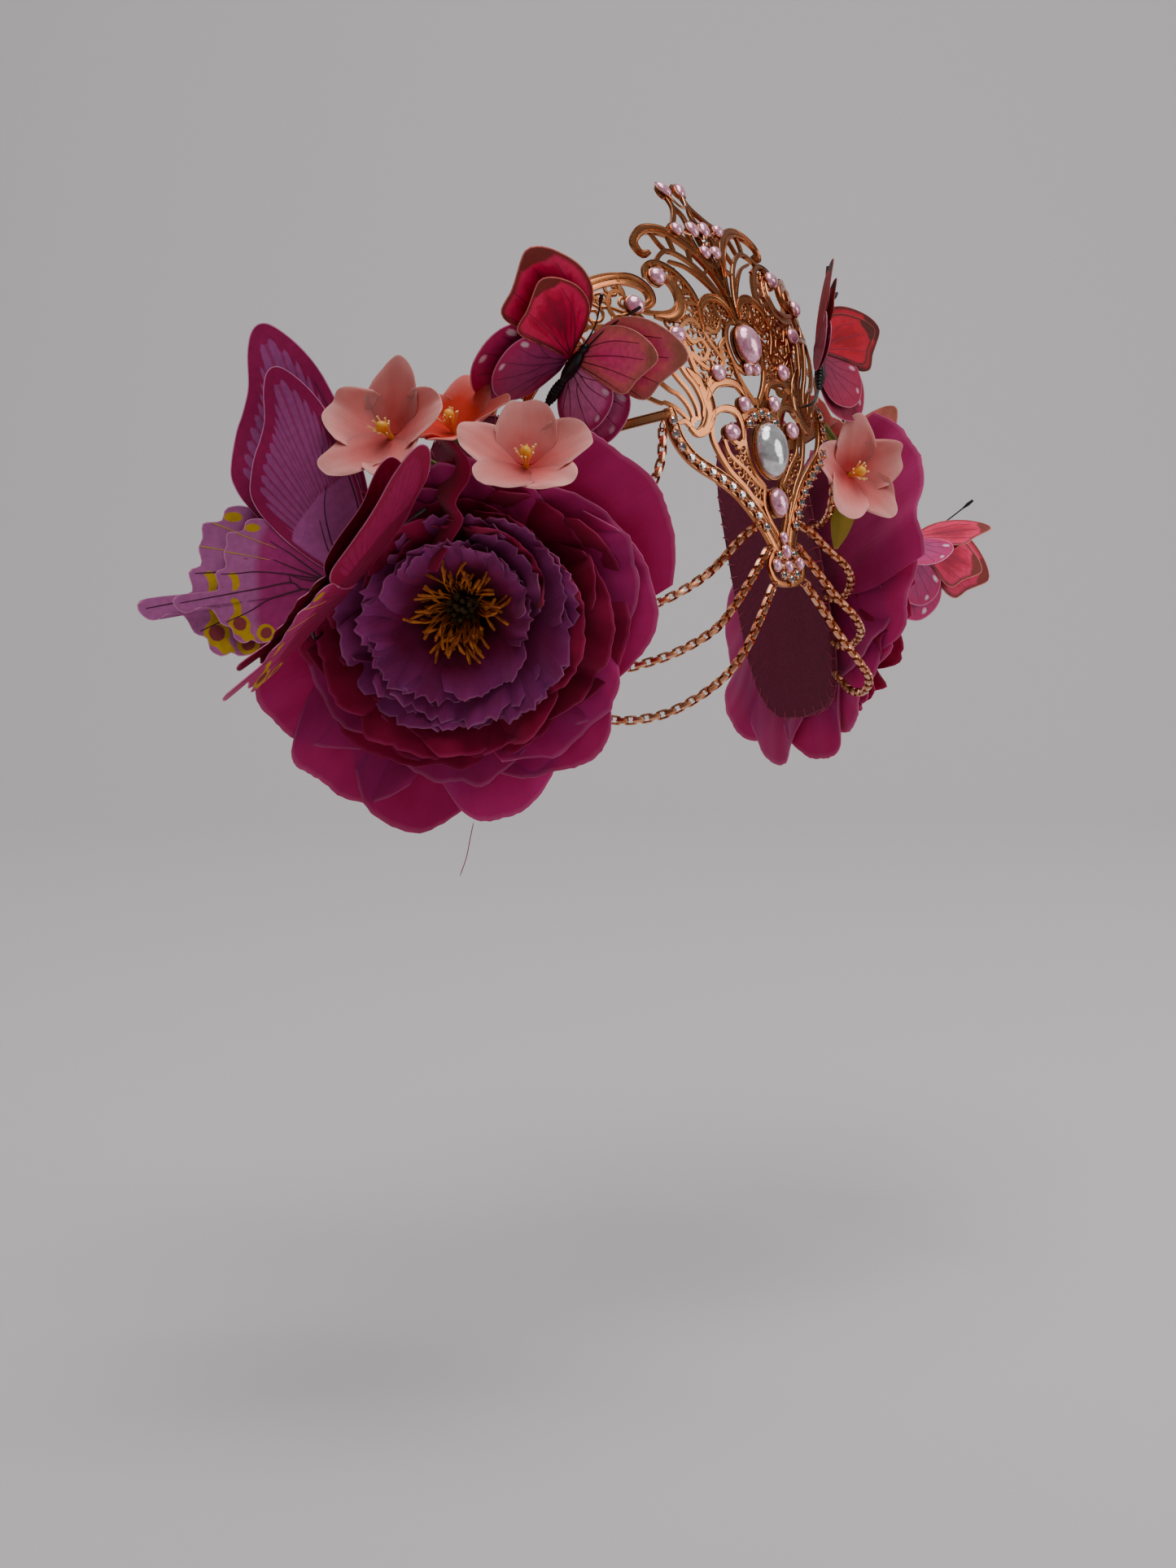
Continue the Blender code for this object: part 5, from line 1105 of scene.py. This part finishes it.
dusky_hind_film = film("dusky_rose_film", ((0.0, "#84304e"), (0.6, "#90284a"), (1.0, "#9c2044")),
                       (("mark_a", "#941c40", 1.2), ("mark_b", "#c890a4", 0.3)), "#b06478")
# The pink films: the rosy butterfly's own colour, and a lighter copy of the crimson films for the right
# wings of the crimson butterfly at the right, as painted light.
pink_fore_film = film("rose_red_film", ((0.0, "#f02e7e"), (0.5, "#f04a84"), (1.0, "#ee6480")),
                      (("mark_a", "#f05c82", 1.5), ("mark_b", "#f06c78", 0.8), ("mark_c", "#b46a58", 2.6)),
                      "#e59a8c")
pink_hind_film = film("pink_veined_film", ((0.0, "#f29ccc"), (0.6, "#f088c2"), (1.0, "#ec6cb0")),
                      (("mark_a", "#c62f74", 1.2), ("mark_b", "#f0d2e2", 0.3)), "#e8a3c4")
# Printing inks are half matt, like the film; the bodies are glossy moulded plastic.
print_ink, _ = new_look("dark_printed_vein", Base_Color=linear("#4a0c34"), Roughness=0.5)
crimson_ink, _ = new_look("maroon_printed_vein", Base_Color=linear("#6e0a34"), Roughness=0.5)
gold_ink, _ = new_look("ochre_printed_line", Base_Color=linear("#c09a3a"), Roughness=0.5)
black_moulding, _ = new_look("black_moulded_body", Base_Color=linear("#0e0c0e"), Roughness=0.32)

SWALLOW_FORE = ((2, 6), (6, 15), (14, 24), (26, 33), (40, 40.5), (52.4, 45.7), (62.9, 49.1), (74, 50.4),
                (84.3, 49.4), (88.2, 46.6), (88, 42), (84, 36), (76, 27.5), (71.5, 19.5), (68.9, 13.5),
                (64.1, 5.8), (59.5, 0.3), (53.8, -2.5), (47.6, -3.7), (36, -4.5), (22, -3.5), (8, -1),
                (2, 1))
SWALLOW_HIND = ((2, 2), (10, -1), (22, -2.4), (36, -3), (47.6, -3.7), (53.1, -9), (51.6, -13.6),
                (55.8, -18.6), (52.5, -22.5), (51.2, -26.1), (46.5, -29.7), (48.2, -34.4), (42.5, -38.4),
                (44.5, -42), (48.7, -46.5), (54, -53.2), (52.2, -56.4), (47.2, -56.4), (44.9, -54.2),
                (43.4, -50), (40.1, -47.4), (36.5, -47.4), (31.6, -49), (27.4, -47.4), (23.5, -49.7),
                (18.8, -48.5), (17.5, -45.2), (14.7, -44.7), (11.3, -40.8), (9.7, -35.9), (8.2, -24),
                (5, -12), (2, -4))
BRUSH_FORE = ((0.8, 5), (1.8, 12), (3.2, 20), (7, 27.5), (12.5, 32.5), (18.7, 35.8), (25.8, 37.8),
              (31.5, 38.3), (35.5, 37), (36, 34), (34.4, 28), (32.8, 22), (32.6, 17.5), (31.5, 14),
              (27, 11), (20, 9.4), (12, 7.4), (5, 5), (1.2, 3))
BRUSH_HIND = ((1, 6), (8, 8.6), (16, 11), (22.5, 11.6), (27, 9.4), (29.6, 4.6), (30, -2.3), (28.4, -8.6),
              (24, -14.4), (17.5, -17.2), (11.5, -16.8), (6.6, -12.8), (3.4, -7.4), (1.2, -2))
SWALLOW_FORE_VEINS = (((7.7, 0.8), (18.7, 4.7), (29.9, 11.5)),
                      ((10.8, 3.4), (21.7, 9.2), (31.9, 16.8), (38, 25)),
                      ((6, 12), (22, 27), (42, 38), (60, 44.5)), ((40, 30), (46, 36)), ((44, 29), (50, 36)))
SWALLOW_HIND_VEINS = (((10.6, -5.2), (22, -6.4), (30, -7.2), (40, -9)),
                      ((10.6, -5.2), (22.1, -9.9), (33.6, -13.9)),
                      ((10.6, -5.2), (24.6, -14.4), (35, -22.2), (40.6, -28.1), (46, -33.4)),
                      ((10.6, -5.2), (15.1, -9.5), (19.7, -12.4), (24.3, -14.1)),
                      ((21.2, -16.1), (24.3, -14.1)),
                      ((6.2, -7.3), (15.6, -14.8), (21.2, -16.1), (29.5, -26.8), (37.8, -37.5), (50.5, -54)),
                      ((15.6, -14.8), (23.1, -27), (26.2, -36.8), (30.6, -47)),
                      ((6.6, -8.2), (9.5, -15.4), (11.6, -24)))
SWALLOW_LINES = (((53, -16), (44, -12.6), (36, -9.4)), ((51, -25), (43, -20), (34.5, -15)))
BRUSH_FORE_VEINS = (((2, 9), (12, 24), (24, 34)), ((3, 7), (16, 20), (30, 31)),
                    ((3, 6), (18, 15), (32, 22)), ((4, 5), (18, 10), (30, 13.6)))
BRUSH_HIND_VEINS = (((2, 3), (9, 3.2), (14, 5.6), (20, 10)), ((9, 3.2), (16, 3), (26, 6)),
                    ((2, 2), (10, 0), (16, -1), (28, -1)), ((10, 0), (14, -4), (26, -9)),
                    ((2, 0), (7, -4), (12, -8), (19, -15.6)), ((7, -4), (9, -9), (13, -16)),
                    ((2, -1), (4, -6), (8, -13)))


def wing_grid(outline, rows, columns):
    """Flat grid of a wing, each row a smaller copy of the outline about the root, and values for marks."""
    line = smooth_line(outline, 0.4)
    rim = points_at(line, np.linspace(0, travel(line)[-1], columns))
    root = (rim[0] + rim[-1]) / 2
    reach = (np.linspace(0, 1, rows) ** 0.8)[:, None] * 0.97 + 0.03
    flat = root + (rim - root)[None] * reach[..., None]
    part = np.broadcast_to(np.linspace(0, 1, columns), flat.shape[:2])
    edge = np.array([np.linalg.norm(row[:, None] - line[None, 10:-10:3], axis=-1).min(axis=1)
                     for row in flat])
    edge[-1] = 0
    root_away = np.linalg.norm(flat - root, axis=-1)
    return flat, np.broadcast_to(reach, flat.shape[:2]), part, edge, root_away


def wing_place(flat, hinge, frame_axes, side, lift_angle, scale, above):
    """Where points of a flat wing lie, once it is turned up about the body and slightly bowed."""
    right, forward, dorsal = frame_axes
    turn = math.radians(lift_angle)
    out = right * (math.cos(turn) * side) + dorsal * math.sin(turn)
    normal = dorsal * math.cos(turn) - right * (math.sin(turn) * side)
    x, y = flat[..., 0] * scale, flat[..., 1] * scale
    bow = CAMBER * (x / 40) ** 2 + 0.35 * np.sin(x / 7 + y / 11) * np.clip(x / 25, 0, 1)
    return hinge + out * x[..., None] + forward * y[..., None] + normal * (bow + above)[..., None]


def printed_line(line, half, to_space):
    """A printed line as a thin strip that shows on both sides of the film."""
    line = smooth_line(line, 1.4)
    wide = half * (1.25 - 0.75 * np.linspace(0, 1, len(line)))[:, None]
    left, right = line + left_of(line) * wide, line - left_of(line) * wide
    rings = np.stack([to_space(left, INK), to_space(right, INK), to_space(right, -WING_FILM - INK),
                      to_space(left, -WING_FILM - INK)], 1)
    return rings.reshape(-1, 3), tube_faces(len(line), 4)


# Each wing: outline, marks, veins, fine gold lines, and the rows and columns of its grid.
SWALLOW = ((SWALLOW_FORE, swallow_fore, SWALLOW_FORE_VEINS, (), 30, 168),
           (SWALLOW_HIND, swallow_hind, SWALLOW_HIND_VEINS, SWALLOW_LINES, 30, 120))
BRUSH = ((BRUSH_FORE, brush_fore, BRUSH_FORE_VEINS, (), 22, 60),
         (BRUSH_HIND, brush_hind, BRUSH_HIND_VEINS, (), 22, 60))
LARGE_VEIN, SMALL_VEIN, GOLD_LINE = 0.34, 0.18, 0.2
# Each layer of film: its size, how much further it is raised, and how high it lies.
LAYERS = ((1.0, 0, 0.0), (0.82, 6, 0.7))
CRIMSON = (crimson_fore_film, crimson_hind_film, crimson_ink, gold_ink)
PINK_AND_LIT_CRIMSON = (pink_fore_film, pink_hind_film, crimson_ink, gold_ink)
MAUVE = (swallow_fore_film, swallow_hind_film, print_ink, gold_ink)
DUSKY = (dusky_fore_film, dusky_hind_film, crimson_ink, gold_ink)
MAUVE_IN_PAINTED_SHADE = (shaded_fore_film, shaded_hind_film, crimson_ink, gold_ink)
BUTTERFLIES = (
    # name, wings, scale, body, head and back directions, (raise, looks, scale) left and right, wire
    # The swallowtail's right wings take the darker copies of its films: painted shade.
    ("swallowtail", SWALLOW, 1.0, (-148.9, -21.7, -44.7), (0.499, -0.454, 0.738), (-0.832, -0.012, 0.556),
     ((33, MAUVE, 1.0), (45, MAUVE_IN_PAINTED_SHADE, 1.0)), ((-153.8, -10.6, -64.5), (-141.7, -2.9, -63.1))),
    # Its right wings take the pink films, a lighter copy of its crimson ones: painted light on the wings
    # that face the light.
    ("crimson_right", BRUSH, 0.95, (-78.8, -62.2, 27.2), (-0.047, -0.682, 0.730), (-0.457, -0.635, -0.622),
     ((11, CRIMSON, 1.30), (57, PINK_AND_LIT_CRIMSON, 1.14)), ((-79.8, -48.0, 14.2), (-77.5, -46.6, 13.4))),
    ("crimson_left", BRUSH, 0.92, (42.1, -84.4, 33.6), (0.518, 0.334, 0.787), (0.413, -0.904, 0.112),
     ((25, DUSKY, 0.8), (25, DUSKY, 1.12)), ((29.4, -89.0, 15.9), (28.5, -85.5, 15.0))),
    ("ringlet_left", BRUSH, 1.0, (141.2, -58.8, -43.0), (0.897, -0.013, 0.441), (0.326, -0.654, -0.683),
     ((55, CRIMSON, 0.72), (55, CRIMSON, 1.12)), ((119.0, -57.2, -52.2), (101.7, -57.9, -52.1))),
    ("rosy_left", BRUSH, 0.9, (133.3, -30.5, -25.4), (0.10, 0.30, 0.93), (0.94, -0.24, 0.10),
     ((30, PINK_AND_LIT_CRIMSON, 1.0), (30, PINK_AND_LIT_CRIMSON, 1.0)), ((128.2, -36.4, -46.2), (115.8, -25.8, -37.2))),
)
BODY = (
    # place along the body, thickness: head, neck, smooth thorax, waist
    (13.8, 0.4), (13.2, 1.3), (11.9, 1.75), (10.6, 1.4), (9.9, 1.2), (8.6, 1.9), (6, 2.35), (2.8, 2.5),
    (-0.4, 2.2), (-2.6, 1.5), (-3.2, 1.35),
)
RIBS, RIB_START, RIB_STEP = 8, -3.6, 1.45
FEELER = (
    # ahead of the body's middle, to the side, and above
    (12.6, 0.7, 0.0), (24, 2.5, 1.5), (37, 8, 3),
)
for name, wings, scale, centre, head, back, sides, wire in BUTTERFLIES:
    centre = np.array(centre, float)
    forward = np.array(head) / np.linalg.norm(head)
    dorsal = np.array(back) - forward * (forward @ np.array(back))
    dorsal /= np.linalg.norm(dorsal)
    axes = (np.cross(forward, dorsal), forward, dorsal)
    steep = math.cos(math.radians(max(raised for raised, _, _ in sides)))
    hinge = centre - dorsal * 2.55 / steep
    large = wings is SWALLOW
    parts, numbers, looks = [], [], []
    kept = {key: [] for key in ("reach", "rim", "mark_a", "mark_b", "mark_c")}
    for side, (raised, colours, extra) in ((-1, sides[0]), (1, sides[1])):
        for colour in colours:
            if colour not in looks:
                looks.append(colour)
        for kind, (outline, marks_of, veins, lines, rows, columns) in enumerate(wings):
            flat, reach, part, edge, root_away = wing_grid(outline, rows, columns)
            marks = marks_of(flat[..., 0], flat[..., 1], reach, part, edge, root_away)
            for size, more, above in LAYERS:
                def to_space(points, rise=0.0):
                    return wing_place(points, hinge, axes, side, raised + more, scale * extra * size,
                                      above + rise + (0.0 if kind else 0.35))
                parts.append(shell(to_space(flat), to_space(flat, -WING_FILM)))
                numbers.append(looks.index(colours[kind]))
                for key, value in (("reach", reach), ("rim", edge - 0.35), *marks.items()):
                    kept[key].extend([*value.ravel(), *value.ravel()])
                for group, ink, half in ((veins, colours[2], LARGE_VEIN if large else SMALL_VEIN),
                                         (lines, colours[3], GOLD_LINE)):
                    for line in group:
                        strip = printed_line(line, half, to_space)
                        parts.append(strip)
                        numbers.append(looks.index(ink))
                        for key in kept:
                            kept[key].extend([1.0] * len(strip[0]))
    slot = "purple_film" if large else "film"
    piece = add_piece(f"{name}_film_wings", *join_parts(parts), looks, slot, [f"{name}_wings"], smooth=30)
    paint(piece, parts, numbers)
    for key, values in kept.items():
        piece.data.attributes.new(key, "FLOAT", "POINT").data.foreach_set("value", values)
    profile = list(BODY)
    for i in range(RIBS):
        at = RIB_START - RIB_STEP * i
        thick = 1.95 * math.sin(math.pi * (0.28 + 0.62 * i / RIBS))
        profile += [(at, thick * 0.86), (at - RIB_STEP * 0.3, thick + 0.18),
                    (at - RIB_STEP * 0.7, thick + 0.18)]
    profile.append((RIB_START - RIB_STEP * RIBS - 0.2, 0.3))
    parts = [thread([centre + forward * along for along, _ in profile], [thick for _, thick in profile],
                    14)]
    for sign in (-1, 1):
        line = smooth_line([centre + forward * ahead + axes[0] * sign * aside + dorsal * high
                            for ahead, aside, high in FEELER], 3.0)
        parts.append(thread(line, [0.3] * (len(line) - 2) + [0.75, 0.6], 6))
    neck = centre - forward * 20 - dorsal * 1.5
    line = smooth_line([centre - forward * 14.5, neck, *(np.array(p, float) for p in wire)], 2.0)
    parts.append(thread(line, 0.55, 8))
    add_piece(f"{name}_moulded_body", *join_parts(parts), [black_moulding], "black_body", [f"{name}_body"],
              smooth=50)

# Loose threads. Two frayed ends of magenta silk that have come out of the petals' cut edges: one below the
# near peony and one beside the far flowers.
# Single silk threads, too fine to show a sheen.
magenta_thread, _ = new_look("frayed_silk_thread", Base_Color=linear("#a5427a"), Roughness=0.7)
THREADS = (
    # piece, points
    ("loose_thread_right", ((-141.5, -73.2, -125.1), (-142, -72, -131), (-143.4, -71.6, -137),
                            (-146, -71, -143))),
    ("loose_thread_left", ((116, -47, -8), (118.6, -50, -7.2), (121, -52, -9.4), (123.4, -54, -8.6))),
)
for name, points in THREADS:
    add_piece(name, *thread(smooth_line(points, 1.2), 0.18, 6), [magenta_thread], "magenta_silk", smooth=60)

# Studio. A pale grey paper sweep that curves up behind, a large soft box overhead, two smaller ones to the
# front right, which the plate's front and the stones reflect, and one for the paper behind.
FLOOR, WALL_AWAY, WALL_BEND, WALL_HIGH = -0.32, 2.2, 0.9, 3.4
# The photo is taken from the wearer's front right, at this turn, pitch and distance. Its frame, its focal
# length and the place where the origin shows are in its pixels.
turn, pitch, distance = math.radians(50), math.radians(7), 1.25
PHOTO_WIDE, PHOTO_HIGH, FOCAL, ORIGIN_X, ORIGIN_Y = 1445, 1927, 4000, 709, 548
facing = Vector((math.sin(turn), math.cos(turn), 0))
beside = Vector((facing.y, -facing.x, 0))
run = [(-4.0, 0.0)] + [(WALL_AWAY - WALL_BEND + WALL_BEND * math.sin(a), WALL_BEND * (1 - math.cos(a)))
                       for a in np.linspace(0, math.pi / 2, 24)] + [(WALL_AWAY, WALL_HIGH)]
points = [facing * away + beside * reach + Vector((0, 0, FLOOR + high))
          for away, high in run for reach in (-4, 4)]
faces = [(2 * i, 2 * i + 1, 2 * i + 3, 2 * i + 2) for i in range(len(run) - 1)]
mesh = bpy.data.meshes.new("paper_sweep")
mesh.from_pydata([tuple(p) for p in points], [], faces)
# Matt paper, which takes soft shadows and no highlights.
paper, _ = new_look("pale_grey_paper", Base_Color=linear("#d2cecf"), Roughness=0.9, Specular_IOR_Level=0.1)
mesh.materials.append(paper)
mesh.shade_smooth()
sweep = bpy.data.objects.new("paper_sweep", mesh)
bpy.context.scene.collection.objects.link(sweep)
surround = bpy.data.worlds.new("studio_surround")
bpy.context.scene.world = surround
surround.use_nodes = True
surround.node_tree.nodes["Background"].inputs["Color"].default_value = linear("#dcd9dc")
surround.node_tree.nodes["Background"].inputs["Strength"].default_value = 0.2
for name, place, aim, size, power in (("overhead", (-0.3, -0.5, 1.5), (0, 0, -0.05), 1.3, 17),
                                      ("front_right", (0.9, -1.5, 0.55), (0, 0, 0), 1.0, 8),
                                      ("low_right", (1.1, -1.3, -0.1), (0, 0, 0), 0.7, 2.2),
                                      ("backdrop", (0.5, 0.1, 2.2), (1.7, 1.4, 0.3), 1.6, 30)):
    light = bpy.data.lights.new(name, "AREA")
    light.shape, light.size, light.energy = "DISK", size, power
    lamp = bpy.data.objects.new(name, light)
    lamp.location = place
    lamp.rotation_euler = (Vector(aim) - Vector(place)).to_track_quat("-Z", "Y").to_euler()
    bpy.context.scene.collection.objects.link(lamp)

ahead = Vector((math.sin(turn) * math.cos(pitch), math.cos(turn) * math.cos(pitch), -math.sin(pitch)))
up = beside.cross(ahead)
lens = bpy.data.cameras.new("photo_camera")
lens.sensor_width, lens.lens = 36, FOCAL / PHOTO_HIGH * 36
camera = bpy.data.objects.new("photo_camera", lens)
where = (-distance * ahead - (ORIGIN_X - PHOTO_WIDE / 2) / FOCAL * distance * beside
         + (ORIGIN_Y - PHOTO_HIGH / 2) / FOCAL * distance * up)
camera.matrix_world = Matrix.Translation(where) @ Matrix((beside, up, -ahead)).transposed().to_4x4()
bpy.context.scene.collection.objects.link(camera)
bpy.context.scene.camera = camera
